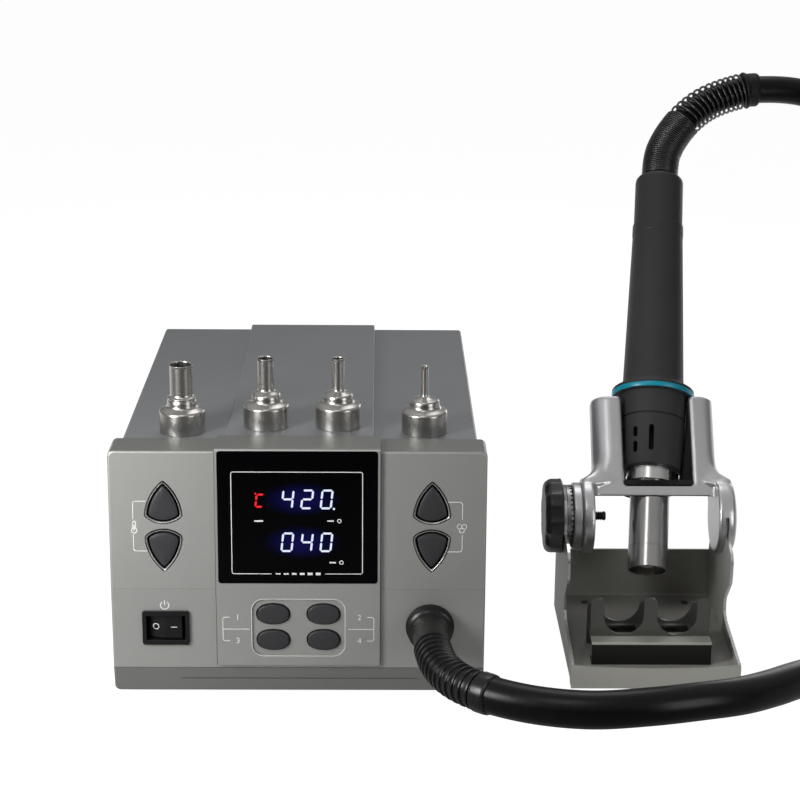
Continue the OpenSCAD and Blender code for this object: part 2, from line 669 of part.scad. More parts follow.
function on_axis(x, s) = [x, pivot_y + s * sin(lean), pivot_z + s * cos(lean)];
function on_grip(s) = on_axis(handle_x + (s - roll_z) * sin(handle_roll),
  roll_z + (s - roll_z) * cos(handle_roll));
boot_line = [[gland_x, -gland_len, gland_z], [gland_x + 0.5, -25, gland_z], [gland_x + 4, -48, gland_z],
  [gland_x + 12.5, -66, gland_z], [gland_x + 27.5, -80, gland_z]];
lower_line = concat(boot_line, [[115, -91, 41.5], [139, -97, 42.3], [165, -96, 43.5], [189, -88.5, 42.7],
  [210, -77, 40], [228, -62, 37], [245, -45, 33.8], [274, -15, 26.5], [305, 14, 18.5], [333, 38, 13.5],
  [360, 59, 16], [380, 69, 31], on_axis(395.5, -18.8), on_axis(398, 0)]);
upper_line = [on_axis(398, 0), on_axis(404, 45), on_axis(404, 95), on_axis(397, 145), on_axis(380, 192),
  on_axis(352, 230), on_axis(320, 251), on_axis(289, 262), on_axis(262, 263.4), on_axis(246, 259.8),
  on_axis(230, 252), on_axis(216, 238.5), on_axis(206, 221.5), on_grip(cap_top + 4.5),
  on_grip(cap_top + seat)];
lower_n = len(lower_line) - 1;
upper_n = len(upper_line) - 1;
spring_line = [on_grip(cap_top), on_axis(206, 221.5), on_axis(216, 238.5), on_axis(230, 252),
  on_axis(246, 259.8), on_axis(262, 263.4), on_axis(289, 262)];

// Rings of the ribbed boot: a trumpet at the panel, ribs, a plain collar at the hose
ribs = 12;
boot_us = concat([0.03, 0.12, 0.3, 0.55], [for (k = [0 : ribs - 1], j = [0 : 2])
  0.7 + (k + [0, 0.3, 0.6][j]) * 2.9 / ribs], [3.62, 3.66, 3.94, 4]);
boot_rs = concat([gland_d / 2, gland_d / 2 - 0.8, 9.6, 8.2], [for (k = [0 : ribs - 1], j = [0 : 2])
  [boot_d / 2 - 1.4, boot_d / 2 - 0.4, boot_d / 2 - 0.4][j]],
  [boot_d / 2 - 1.4, boot_d / 2 + 0.3, boot_d / 2 + 0.3, boot_d / 2 - 0.3]);
module hose_boot() place() color([0.07, 0.07, 0.07]) sweep(lower_line, boot_us, boot_rs, 16);

module lower_hose() place() color([0.06, 0.06, 0.06])
  sweep(lower_line, [for (k = [0 : 60]) 4.02 + k * (lower_n - 4.02) / 60],
    [for (k = [0 : 60]) hose_d / 2], 12);

module upper_hose() place() color([0.06, 0.06, 0.06])
  sweep(upper_line, [for (k = [0 : 64]) 0.01 + k * (upper_n - 0.01) / 64],
    [for (k = [0 : 64]) hose_top_d / 2 + (hose_d - hose_top_d) / 2 * max(0, 1 - k / 24)], 12);

// Bend guard: close coils as ribs, then an open coil, then a collar
coils = 11;
module bend_spring() place() color([0.1, 0.1, 0.1]) pipe(spring_line,
  concat([0.09], [for (k = [0 : coils - 1], j = [0 : 1]) 0.11 + (k + [0.1, 0.6][j]) * 2.04 / coils], [2.16]),
  concat([spring_d / 2 - 0.6], [for (k = [0 : coils - 1], j = [0 : 1]) spring_d / 2 - [0.7, 0][j]],
    [spring_d / 2 - 0.6]), hose_top_d / 2 + 0.3, 16);

coil_turns = 12;
coil_step = 10;
module open_spring() place() color([0.1, 0.1, 0.1]) {
  n = coil_turns * coil_step;
  r = spring_d / 2 - 0.75;
  tube([for (j = [0 : n]) let (u = 2.22 + 2.33 * j / n, c = along(spring_line, u),
      t = slope(spring_line, u), a = 360 * j / coil_step, su = side_u(t), sv = side_v(t),
      d = cos(a) * su + sin(a) * sv, w = unit(t * 0.1 + (-sin(a) * su + cos(a) * sv)),
      o = cross(w, d))
    [for (k = [0 : 5]) c + r * d + 0.7 * (cos(60 * k) * d + sin(60 * k) * o)]]);
}

module spring_collar() place() color([0.06, 0.06, 0.06]) pipe(spring_line,
  [4.6, 4.63, 5.06, 5.09], [spring_d / 2 - 0.3, spring_d / 2 + 0.4, spring_d / 2 + 0.4, spring_d / 2 - 0.3],
  hose_top_d / 2 + 0.3, 20);

// Nozzles stand on the cover with their wide end down
module nozzle(x, z, tip, h) place() color([0.75, 0.75, 0.76]) translate([x, nozzle_y, z]) {
  ri = tube_d / 2 + nozzle_fit;
  ro = nozzle_d / 2;
  rt = tip / 2;
  b = nozzle_body_h;
  rotate_extrude($fn = 64) polygon([[ri, 0], [ro, 0], [ro, b], [ro - 0.5, b + 0.9], [9.6, b + 1.7],
    [8.1, b + 2.3], [7.7, b + 3.4], [7.5, b + 6], [7, b + 7], [rt + 0.9, b + 7.7], [rt, b + 8.7],
    [rt, h - 0.8], [rt + 0.45, h], [rt - 0.3, h], [rt - 0.5, h - 0.8], [rt - 0.5, b + 8.4],
    [6.4, b + 6.4], [7, b + 1.4], [ri, b - 0.2]]);
}
module nozzle_1() nozzle(-60.7, cover_top, tip_1_d, nozzle_h);
module nozzle_2() nozzle(-17.6, cover_top + strip_h, tip_2_d, nozzle_h + 0.5);
module nozzle_3() nozzle(19.3, cover_top + strip_h, tip_3_d, nozzle_h + 0.5);
module nozzle_4() nozzle(63.6, cover_top, tip_4_d, nozzle_h - 0.5);

// Stand bracket: side plates with lugs, floor, lip and back wall
function tangent(p, c, r, side) = let (d = norm(c - p), a = atan2(c[1] - p[1], c[0] - p[0]),
  b = asin(r / d), g = a + side * b + side * 90) c + r * [cos(g), sin(g)];
lug_c = [pivot_y, pivot_z];
shoulder = [stand_y + 37, 60];
rear_top = [stand_y + stand_d, back_h + 1];
module side_plate(x) difference() {
  union() {
    xprofile([[stand_y, stand_foot_h], [stand_y, lip_h], [stand_y + 47, lip_h + 6],
      [stand_y + 51, lip_h + 7], [stand_y + 51, 29], [stand_y + 37, 44], shoulder,
      tangent(shoulder, lug_c, lug_r, 1), lug_c, tangent(rear_top, lug_c, lug_r, -1), rear_top,
      [stand_y + stand_d, stand_foot_h]], x, x + stand_sheet);
    translate([0, pivot_y, pivot_z]) xcyl(lug_r, x, x + stand_sheet);
  }
  translate([0, pivot_y, pivot_z])
    xcyl(x < stand_x + 5 ? screw_r + 0.25 : pin_r, x - 1, x + stand_sheet + 1);
}
module stand_bracket() place() color([0.42, 0.42, 0.41]) {
  side_plate(stand_x);
  side_plate(stand_right - stand_sheet);
  difference() {
    union() {
      block([stand_x + eps, stand_y, floor_z], [stand_right - eps, stand_y + stand_d, floor_z + stand_sheet]);
      block([stand_x + eps, stand_y, stand_foot_h],
        [stand_right - eps, stand_y + stand_sheet, lip_h]);
      block([stand_x + eps, stand_y + stand_d - stand_sheet, stand_foot_h],
        [stand_right - eps, stand_y + stand_d, back_h]);
    }
    translate([stand_x + stand_w / 2, 0, lip_h + 590.4])
      rotate([-90, 0, 0]) translate([0, 0, stand_y - 1]) cylinder(r = 592, h = 8, $fn = 720);
    for (x = rack_holes) translate([x, stand_y + 14.5, floor_z - 1]) cylinder(r = 1.6, h = 5);
    for (x = ballast_xs, y = ballast_ys) translate([x, y, floor_z - 1]) cylinder(r = 2.1, h = 5);
  }
}
ballast_xs = [stand_x + 16, stand_right - 16];
ballast_ys = [stand_y + 62, stand_y + 92];

module ballast_plate() place() color([0.4, 0.4, 0.42]) difference() {
  union() {
    block([stand_x + stand_sheet + 0.6, stand_y + stand_sheet + 0.6, floor_z - ballast_t],
      [stand_right - stand_sheet - 0.6, stand_y + stand_d - stand_sheet - 0.6, floor_z]);
    for (x = ballast_xs, y = ballast_ys) translate([x, y, floor_z - 1])
      cylinder(r = 2, h = 1 + stand_sheet + 0.6);
  }
  for (x = rack_holes) translate([x, stand_y + 14.5, 0]) cylinder(r = 1.6, h = 20);
}

module stand_feet() place() color([0.08, 0.08, 0.08])
  for (x = [stand_x + 11, stand_right - 11], y = [stand_y + 11, stand_y + stand_d - 11])
    translate([x, y, 0]) cylinder(r1 = stand_foot_r - 0.6, r2 = stand_foot_r,
      h = floor_z - ballast_t);

// Nozzle rack: bent comb standing on the floor
rack_x = stand_x + 42.3;
rack_y = stand_y + 9;
rack_floor = floor_z + stand_sheet;
rack_holes = [rack_x - 22, rack_x + 22];
rack_comb = rack_y + 9;
rack_rear = rack_y + 27;
pitch = notch_w + 6.8;
module comb(y, z1, low) difference() {
  block([rack_x - rack_w / 2, y, rack_shelf], [rack_x + rack_w / 2, y + rack_sheet, z1]);
  for (s = [-1, 1]) translate([rack_x + s * pitch / 2, 0, 0]) {
    translate([0, 0, low + notch_w / 2]) ycyl(notch_w / 2, y - 1, y + 2 * rack_sheet);
    block([-notch_w / 2, y - 1, low + notch_w / 2], [notch_w / 2, y + 2 * rack_sheet, z1 + 1]);
  }
}
module nozzle_rack() place() color([0.55, 0.55, 0.55]) {
  comb(rack_comb, rack_top, rack_shelf + 1.9);
  comb(rack_rear, 33.5, rack_shelf + 1.9);
  difference() {
    union() {
      block([rack_x - rack_w / 2, rack_y, rack_shelf],
        [rack_x + rack_w / 2, rack_rear + rack_sheet, rack_shelf + rack_sheet]);
      block([rack_x - rack_w / 2, rack_y, rack_floor],
        [rack_x + rack_w / 2, rack_y + rack_sheet, rack_shelf + eps]);
      block([rack_x - rack_w / 2, rack_rear, rack_floor],
        [rack_x + rack_w / 2, rack_rear + rack_sheet, rack_shelf + eps]);
      block([rack_x - rack_w / 2, rack_y, rack_floor], [rack_x + rack_w / 2, rack_y + 9, rack_floor + rack_sheet]);
    }
    for (s = [-1, 1]) translate([rack_x + s * pitch / 2, 0, 0])
      block([-8, rack_comb + 5, rack_shelf - 1], [8, rack_rear - 4, rack_shelf + 3]);
    for (x = rack_holes) translate([x, stand_y + 14.5, rack_floor - 1]) cylinder(r = 1.6, h = 4);
  }
}

module rack_screws() place() color([0.7, 0.7, 0.7])
  for (x = rack_holes) translate([x, stand_y + 14.5, 0]) {
    difference() {
      translate([0, 0, rack_floor + rack_sheet]) cylinder(r = 2.6, h = 1.8);
      translate([0, 0, rack_floor + rack_sheet + 1]) cylinder(r = 1.1, h = 2);
    }
    translate([0, 0, floor_z - 3]) cylinder(r = 1.5, h = rack_floor + rack_sheet - floor_z + 3.2);
  }

// Yoke: two arms, left cheek, forked right cheek, crossbar with its notch
arm_y = arm_deep / 2;
module arm(x0, x1) {
  r = 4.5;
  z0 = bar_z + 2;
  block([x0 + r, -arm_y, z0], [x1 - r, arm_y, arm_top]);
  block([x0, -arm_y + r, z0], [x1, arm_y - r, arm_top]);
  for (x = [x0 + r, x1 - r], y = [-arm_y + r, arm_y - r]) translate([x, y, z0])
    cylinder(r = r, h = arm_top - z0);
}
// The arm's foot swells out to the cheek
module flare(xa0, xa1, xc0, xc1) hull() {
  for (x = [xa0 + 4.5, xa1 - 4.5], y = [-arm_y + 4.5, arm_y - 4.5]) translate([x, y, 28])
    cylinder(r = 4.5, h = 2, $fn = 24);
  for (x = [xc0 + 2, xc1 - 2]) translate([x, 0, 0]) intersection() {
    xcyl(cheek_r - 0.4, -2, 2, $fn = 48);
    block([-3, -12, 8], [3, 12, 20]);
  }
}
module yoke() place() color([0.72, 0.73, 0.74]) axis() difference() {
  union() {
    arm(arm_in_l - arm_w, arm_in_l);
    arm(arm_in_r, arm_in_r + arm_w);
    flare(arm_in_l - arm_w, arm_in_l, cheek_x, arm_in_l - 6);
    flare(arm_in_r, arm_in_r + arm_w, arm_in_r + 6, fork_r);
    xcyl(cheek_r, cheek_x, cheek_x + cheek_t);
    xcyl(cheek_r, fork_l, fork_r);
    xprofile([[-arm_y, bar_z], [-arm_y, pad_z], [3, pad_z], [3, pad_z - 1.4]],
      cheek_x + cheek_t - 1, fork_l + 1);
  }
  // room for the tube and the space under the crossbar
  translate([seat_x, 0, 0]) {
    cylinder(r = tube_d / 2 + 1, h = 60, $fn = 64);
    block([-tube_d / 2 - 1, 0, 0], [tube_d / 2 + 1, 30, 60]);
  }
  block([arm_in_l - eps, -20, pad_z], [arm_in_r + eps, 20, arm_top + 5]);
  xprofile([[-20, bar_z - 30], [-20, bar_z - 2], [-arm_y, bar_z], [3, pad_z - 1.4], [20, pad_z + 3.5],
    [20, bar_z - 30]], cheek_x + cheek_t, fork_l);
  // slot of the fork for the right side plate
  xcyl(lug_r + 1.5, slot_l, slot_r);
  block([slot_l, -30, -30], [slot_r, 30, cheek_r * cos(35)]);
  // bores
  xcyl(screw_r + pivot_fit, cheek_x - 1, cheek_x + cheek_t + 1);
  xcyl(pin_r + pivot_fit, fork_l + 1, fork_r - 1.5);
}

module seat_pad() place() color([0.05, 0.05, 0.05]) axis() translate([seat_x, 0, 0]) difference() {
  union() {
    block([arm_in_l + 0.2 - seat_x, -arm_y - 0.3, pad_z], [arm_in_r - 0.2 - seat_x, 3, pad_z + pad_t]);
    translate([0, 0, pad_z]) intersection() {
      cylinder(r = seat_x - arm_in_l - seat, h = sleeve_z - 1.8 - pad_z);
      block([-20, -3, 0], [20, 20, 40]);
    }
  }
  translate([0, 0, pad_z - 1]) cylinder(r = tube_d / 2 + 0.7, h = 5, $fn = 64);
  translate([0, 0, pad_z + pad_t]) cylinder(r = collar_d / 2 + 1, h = 40, $fn = 64);
}

module pivot_pin() place() color([0.7, 0.7, 0.7]) translate([0, pivot_y, pivot_z])
  xcyl(pin_r, fork_l + 1.6, fork_r - 1.9);

module lock_disc() place() color([0.72, 0.73, 0.74]) translate([0, pivot_y, pivot_z]) difference() {
  union() {
    xcyl(18.2, disc_x, disc_x + disc_t);
    xcyl(cheek_r - 2.4, disc_x + 1, disc_x + disc_t);
  }
  xcyl(screw_r + 0.25, disc_x - 1, disc_x + disc_t + 1);
}

module serrated_washer() place() color([0.5, 0.5, 0.5]) translate([0, pivot_y, pivot_z]) difference() {
  xcyl(17, washer_x, washer_x + washer_t);
  for (a = [0 : 10 : 350]) rotate([a, 0, 0])
    block([washer_x + washer_t - 1.2, 13, -0.7], [washer_x + washer_t + 1, 19, 0.7]);
  xcyl(screw_r + 0.25, washer_x - 1, washer_x + washer_t + 1);
}

module clamp_knob() place() color([0.08, 0.08, 0.08]) translate([stand_x - seat, pivot_y, pivot_z])
  rotate([0, -90, 0]) difference() {
    union() {
      cylinder(r = knob_d / 2, h = knob_t - 3);
      translate([0, 0, knob_t - 3 - eps]) cylinder(r1 = knob_d / 2, r2 = knob_d / 2 - 2.8, h = 3);
    }
    for (a = [0 : 45 : 315]) rotate([0, 0, a + 22.5]) translate([knob_d / 2 + 10.6, 0, 2.4])
      cylinder(r = 12, h = 20);
    translate([0, 0, -1]) cylinder(r = screw_r, h = knob_t - 4);
  }

module clamp_screw() place() color([0.45, 0.45, 0.45]) translate([0, pivot_y, pivot_z]) {
  xcyl(screw_r, stand_x - seat - knob_t + 6, cheek_x + cheek_t + 6.9);
  xcyl(screw_r - 0.4, cheek_x + cheek_t + 6.8, cheek_x + cheek_t + 7.4);
}

// Handle, all on the leaning axis
module on_handle() place() axis() translate([handle_x, 0, roll_z]) rotate([0, handle_roll, 0])
  translate([0, 0, -roll_z]) children();

module heater_tube() color([0.7, 0.7, 0.71]) on_handle() difference() {
  translate([0, 0, -tube_low]) cylinder(r = tube_d / 2, h = tube_low + sleeve_z + 30, $fn = 64);
  translate([0, 0, -tube_low - 1]) cylinder(r = tube_d / 2 - 0.8, h = tube_low + sleeve_z + 32, $fn = 64);
  translate([0, 0, -tube_low + tube_seat]) difference() {
    cylinder(r = tube_d / 2 + 1, h = 0.5);
    translate([0, 0, -1]) cylinder(r = tube_d / 2 - 0.25, h = 3, $fn = 64);
  }
}

module heater_core() color([0.85, 0.83, 0.78]) on_handle() {
  translate([0, 0, -tube_low + 2.5]) cylinder(r = 3, h = 6);
  translate([0, 0, -tube_low + 8]) difference() {
    cylinder(r = tube_d / 2 - 1.3, h = tube_low + sleeve_z + 10);
    for (a = [0 : 60 : 300]) rotate([0, 0, a]) translate([5.6, 0, -1]) cylinder(r = 1.7, h = 120);
  }
}

module metal_collar() color([0.75, 0.75, 0.76]) on_handle() difference() {
  translate([0, 0, collar_z]) cylinder(r = collar_d / 2, h = collar_len + 8);
  translate([0, 0, collar_z - 1]) cylinder(r = tube_d / 2, h = collar_len + 12);
}

module nose_sleeve() color([0.1, 0.1, 0.1]) on_handle() difference() {
  translate([0, 0, sleeve_z]) cylinder(r1 = sleeve_low_d / 2, r2 = sleeve_r, h = ring_z + ring_t - sleeve_z);
  translate([0, 0, sleeve_z - 1]) cylinder(r = collar_d / 2, h = 9.1);
  translate([0, 0, sleeve_z + 8]) cylinder(r = 14, h = 60);
  // shallow groove under the flange and the vent slots
  translate([0, 0, sleeve_z + 28.5]) difference() {
    cylinder(r = 30, h = 0.9);
    translate([0, 0, -1]) cylinder(r = sleeve_r - 1.4, h = 4);
  }
  for (k = [0 : 11]) rotate([0, 0, 30 * k - 97]) {
    if (k % 2 == 0) block([10, -1.15, sleeve_z + 7.2], [25, 1.15, sleeve_z + 21.9]);
    else {
      block([10, -1.15, sleeve_z + 6.4], [25, 1.15, sleeve_z + 12.8]);
      block([10, -1.15, sleeve_z + 15.2], [25, 1.15, sleeve_z + 21.1]);
    }
  }
}

module teal_ring() color([0.06, 0.55, 0.66]) on_handle() translate([0, 0, ring_z]) difference() {
  cylinder(r1 = ring_d / 2 - 0.5, r2 = ring_d / 2, h = ring_t);
  translate([0, 0, -1]) cylinder(r = sleeve_r, h = ring_t + 2);
}

module grip() color([0.22, 0.22, 0.23]) on_handle() difference() {
  union() {
    translate([0, 0, ring_z + ring_t]) cylinder(r = ring_d / 2 - 0.2, h = 1.6);
    translate([0, 0, ring_z + ring_t + 1.6 - eps])
      cylinder(r1 = ring_d / 2 - 0.2, r2 = grip_low_d / 2, h = flange_t - 1.6);
    translate([0, 0, grip_z - eps]) cylinder(r1 = grip_low_d / 2, r2 = grip_top_d / 2, h = grip_len);
  }
  translate([0, 0, ring_z]) cylinder(r = 14, h = 12);
  translate([0, 0, grip_z]) cylinder(r = grip_top_d / 2 - 2.5, h = grip_len + 5);
}

module grip_cap() color([0.2, 0.2, 0.21]) on_handle() difference() {
  union() {
    translate([0, 0, cap_z]) cylinder(r = grip_top_d / 2 + 0.4, h = 7);
    translate([0, 0, cap_z]) cylinder(r = cap_d / 2 + 0.2, h = cap_len - 2);
    translate([0, 0, cap_top - 2 - eps]) cylinder(r1 = cap_d / 2 + 0.2, r2 = cap_d / 2 - 1.2, h = 2);
    translate([0, 0, cap_z - 8]) cylinder(r = grip_top_d / 2 - 2.6, h = 9);
  }
  translate([0, 0, cap_z - 9]) cylinder(r = 8, h = cap_len + 6);
}

front_bezel();
centre_fascia();
display_window();
display_module();
front_board();
temp_up_button();
temp_down_button();
air_up_button();
air_down_button();
channel_1_key();
channel_2_key();
channel_3_key();
channel_4_key();
switch_housing();
power_rocker();
top_cover();
base_tray();
rear_panel();
mains_inlet();
console_feet();
cover_screws();
blower_housing();
blower_impeller();
blower_motor();
air_duct();
main_board();
heat_sink();
transformer();
hose_gland();
hose_boot();
nozzle_1();
nozzle_2();
nozzle_3();
nozzle_4();
stand_bracket();
ballast_plate();
stand_feet();
nozzle_rack();
rack_screws();
yoke();
seat_pad();
pivot_pin();
lock_disc();
serrated_washer();
clamp_knob();
clamp_screw();
grip();
grip_cap();
teal_ring();
nose_sleeve();
metal_collar();
heater_tube();
heater_core();
bend_spring();
open_spring();
spring_collar();
upper_hose();
lower_hose();
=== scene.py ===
import bpy, bmesh, json, math
from mathutils import Matrix, Vector

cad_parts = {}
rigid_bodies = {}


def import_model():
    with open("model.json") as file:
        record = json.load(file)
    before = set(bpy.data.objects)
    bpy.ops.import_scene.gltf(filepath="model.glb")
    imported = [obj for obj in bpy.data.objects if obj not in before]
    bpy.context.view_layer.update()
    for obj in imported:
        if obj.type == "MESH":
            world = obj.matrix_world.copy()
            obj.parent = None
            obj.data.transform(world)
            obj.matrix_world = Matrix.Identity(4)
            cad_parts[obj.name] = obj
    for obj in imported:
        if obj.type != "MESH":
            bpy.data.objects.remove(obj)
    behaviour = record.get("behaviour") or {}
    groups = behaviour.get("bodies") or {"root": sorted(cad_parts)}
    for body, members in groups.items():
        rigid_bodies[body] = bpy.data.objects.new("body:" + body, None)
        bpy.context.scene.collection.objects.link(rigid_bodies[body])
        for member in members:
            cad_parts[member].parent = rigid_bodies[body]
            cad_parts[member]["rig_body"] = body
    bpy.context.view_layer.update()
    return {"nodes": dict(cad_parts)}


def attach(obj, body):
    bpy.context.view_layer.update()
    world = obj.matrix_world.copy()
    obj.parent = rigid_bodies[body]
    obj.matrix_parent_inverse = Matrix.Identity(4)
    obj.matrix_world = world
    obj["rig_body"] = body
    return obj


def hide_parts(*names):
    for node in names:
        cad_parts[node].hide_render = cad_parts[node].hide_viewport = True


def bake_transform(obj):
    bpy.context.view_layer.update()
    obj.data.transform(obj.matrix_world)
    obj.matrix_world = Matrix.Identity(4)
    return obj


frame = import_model()
context = bpy.context


def shift(x, y, z):
    return Matrix.Translation((x, y, z))


def spun(degrees, axis):
    return Matrix.Rotation(math.radians(degrees), 4, axis)


def linked(name, data):  # a new object in the scene
    made = bpy.data.objects.new(name, data)
    context.scene.collection.objects.link(made)
    return made


# All the sizes below are in millimetres, from the console's front at the middle of its width
station = Matrix.Scale(0.001, 4) @ shift(-69.4, -123.5, 0)
creases = (61.5, 18.5)  # the heights at which the console's front bends
lean = math.atan(3.7 / 71.5)  # of the front above its upper crease
facePlace = shift(0, 0, creases[0]) @ Matrix.Rotation(-lean, 4, "X")
windowPlace = facePlace @ shift(0, 0, 37.8)
pivot = (92, 67)  # y and z of the line that the yoke turns about
axisPlace = shift(0, *pivot) @ spun(-37, "X")
handlePlace = axisPlace @ shift(192.6, 0, 62) @ spun(4.2, "Y") @ shift(0, 0, -62)

# Camera at the photograph's angle
view = {"place": (-0.0301, -1.0414, 0.4415), "pitch": 17.0, "yaw": 0.69, "roll": 0.42, "lens": 88.65}


def setCamera():
    pitch, yaw, roll = (math.radians(view[k]) for k in ("pitch", "yaw", "roll"))
    forward = Vector((math.sin(yaw) * math.cos(pitch), math.cos(yaw) * math.cos(pitch), -math.sin(pitch)))
    level = Vector((math.cos(yaw), -math.sin(yaw), 0))
    upright = level.cross(forward)
    right = level * math.cos(roll) + upright * math.sin(roll)
    up = upright * math.cos(roll) - level * math.sin(roll)
    data = bpy.data.cameras.new("camera")
    data.lens, data.sensor_width, data.clip_start, data.clip_end = view["lens"], 36, 0.05, 60
    context.scene.camera = linked("camera", data)
    context.scene.camera.matrix_world = shift(*view["place"]) @ Matrix((right, up, -forward)).transposed().to_4x4()


setCamera()
print("camera done")


# Materials
def colour(code):  # sRGB hex to linear
    parts = [int(code[k:k + 2], 16) / 255 for k in (1, 3, 5)]
    return [c / 12.92 if c <= 0.04045 else ((c + 0.055) / 1.055) ** 2.4 for c in parts] + [1]


def node(tree, kind, inputs=(), **settings):  # adds a node with its settings, values and links
    made = tree.nodes.new(kind)
    for key, value in settings.items():
        setattr(made, key, value)
    for key, value in dict(inputs).items():
        if isinstance(value, bpy.types.NodeSocket):
            tree.links.new(value, made.inputs[key])
        else:
            made.inputs[key].default_value = value
    return made


materials = {}


def surface(name, base, second, rough, metallic=0, grain=0.35, patch=40, speck=0.1, bump=0.1, gloss=0.5,
            stretch=(1, 1, 1)):
    # two tones in soft patches, a fine grain over them, and roughness and bump from the grain
    material = materials[name] = bpy.data.materials.new(name)
    material.use_nodes = True
    tree = material.node_tree
    shader = tree.nodes["Principled BSDF"]
    place = node(tree, "ShaderNodeTexCoord").outputs["Object"]
    drawn = node(tree, "ShaderNodeMapping", {"Vector": place, "Scale": stretch}).outputs[0]
    patches = node(tree, "ShaderNodeTexNoise", {"Vector": drawn, "Scale": 1000 / patch, "Detail": 3}).outputs[0]
    grains = node(tree, "ShaderNodeTexNoise", {"Vector": drawn, "Scale": 1000 / grain, "Detail": 2}).outputs[0]
    tones = node(tree, "ShaderNodeMix", {0: patches, 6: colour(base), 7: colour(second)}, data_type="RGBA").outputs[2]
    dusted = node(tree, "ShaderNodeMix", {0: speck, 6: tones, 7: grains}, data_type="RGBA", blend_type="OVERLAY")
    roughness = node(tree, "ShaderNodeMapRange", {0: grains, 1: 0.3, 2: 0.7, 3: rough[0], 4: rough[1]})
    relief = node(tree, "ShaderNodeBump", {"Strength": bump, "Distance": 0.05 / 1000, "Height": grains})
    tree.links.new(dusted.outputs[2], shader.inputs["Base Color"])
    tree.links.new(roughness.outputs[0], shader.inputs["Roughness"])
    tree.links.new(relief.outputs[0], shader.inputs["Normal"])
    shader.inputs["Metallic"].default_value = metallic
    shader.inputs["Specular IOR Level"].default_value = gloss
    return shader


# grain and patch are widths in millimetres
# powder coat with aluminium flake: pale grey, soft gloss, fine orange peel
surface("bezelPaint", "#b4b5b1", "#acada9", (0.42, 0.5), 0.6, gloss=0.35)
# the same coat, painted darker along the ledge and the foot: painted shade
surface("ledgePaint", "#8b8c88", "#838480", (0.42, 0.5), 0.5, gloss=0.35)
# the same coat on folded sheet, a little bluer
surface("coverPaint", "#9c9ea1", "#95979a", (0.4, 0.48), 0.5, speck=0.08, bump=0.08, gloss=0.35)
# the stand's coat, warmer and with less flake
surface("standPaint", "#b4b3ac", "#abaaa4", (0.38, 0.46), 0.25, speck=0.08, bump=0.08)
# the same, painted lighter on the front lip: a painted highlight
surface("lipPaint", "#cdccc4", "#c4c3bc", (0.36, 0.44), 0.25, speck=0.08, bump=0.08)
# the same, painted darker inside the tray: painted shade
surface("shadedPaint", "#a5a49e", "#9a9994", (0.42, 0.5), 0.1, bump=0.08, gloss=0.2)
# painted highlight: brighter paint on the rims of the buttons and on bare cut edges
surface("rimPaint", "#dedfdb", "#d4d5d1", (0.2, 0.28), 0.7, bump=0.04)
# zinc-plated sheet of the nozzle rack, and painted shade, near black, on its front leg
surface("rackPaint", "#6c6c68", "#63635f", (0.3, 0.38), 0.7, bump=0.08)
surface("shadePaint", "#232322", "#1d1d1c", (0.4, 0.5), 0.2, bump=0.08, gloss=0.3)
# dark powder coat of the base tray and the rear panel
surface("darkPaint", "#5c5d5f", "#55575a", (0.4, 0.5), 0.2, grain=0.4)
# moulded ABS: even dark grey, fine spark-eroded texture; shinier on the knob, blacker on the switch
surface("keyPlastic", "#3b3b3d", "#343436", (0.38, 0.5), grain=0.3, bump=0.12, gloss=0.3)
surface("knobPlastic", "#2c2c2d", "#262627", (0.28, 0.38), bump=0.14)
surface("blackPlastic", "#141415", "#101011", (0.34, 0.46), grain=0.4, gloss=0.3)
# glass-filled nylon of the handle: matt dark grey
surface("gripPlastic", "#3d3d3f", "#363638", (0.45, 0.56), bump=0.16, gloss=0.3)
# extruded silicone hose: black with a wet gloss
surface("hoseRubber", "#0b0b0c", "#08080a", (0.28, 0.34), grain=2.0, patch=60, bump=0.04, gloss=0.22)
# moulded rubber of the boot, and the softer, matt kind of the feet, the pad and the gland
surface("bootRubber", "#0d0d0d", "#0e0e0e", (0.26, 0.34), grain=1.0, bump=0.05, gloss=0.4)
surface("footRubber", "#111112", "#0c0c0d", (0.5, 0.65), grain=0.5, bump=0.15, gloss=0.3)
# turned and polished stainless steel of the tube, and spun steel of the nozzles, browned a little by heat
surface("stainless", "#bdbcba", "#adacaa", (0.2, 0.23), 1, 0.5, speck=0.03, bump=0.02, stretch=(1, 1, 0.12))
surface("spunSteel", "#bcbab6", "#aba9a4", (0.27, 0.31), 1, 0.5, speck=0.03, bump=0.02, stretch=(1, 1, 0.12))
# zinc-plated screws, the bright collar, the black-oxide screw and the springs
surface("screwSteel", "#a9a9aa", "#989899", (0.25, 0.35), 1, 0.4)
surface("brightSteel", "#dddcda", "#d2d1cf", (0.24, 0.3), 1, 0.5, bump=0.02)
surface("blackSteel", "#4c4c4e", "#3c3c3e", (0.3, 0.42), 1, 0.5)
surface("springSteel", "#58585a", "#424244", (0.28, 0.4), 1, 0.6)
# die-cast aluminium, bead blasted and clear anodised: satin with a fine sparkle
surface("castAluminium", "#d3d3d4", "#c8c8ca", (0.32, 0.42), 1, 0.3, speck=0.14, bump=0.12)
# dyed plastic ring, heater ceramic, circuit board, varnished copper winding and mild steel plate
surface("teal", "#12a2bd", "#1098b2", (0.25, 0.35), grain=0.4)
surface("ceramic", "#d9d4c8", "#cbc5b7", (0.5, 0.7), grain=0.5, bump=0.2)
surface("board", "#1f5a37", "#1a4f30", (0.3, 0.4), grain=1.0)
surface("copper", "#9a6238", "#7f4c28", (0.3, 0.45), 0.7, 0.5, stretch=(1, 1, 8))
surface("rawSteel", "#77777a", "#606063", (0.35, 0.5), 1, 0.8)
# screen-printed ink on the panel and on the window
surface("ink", "#f4f4f0", "#eaeae6", (0.4, 0.5), grain=0.3)
surface("inkOnGlass", "#f2f2f2", "#e6e6e6", (0.3, 0.4), grain=0.3)
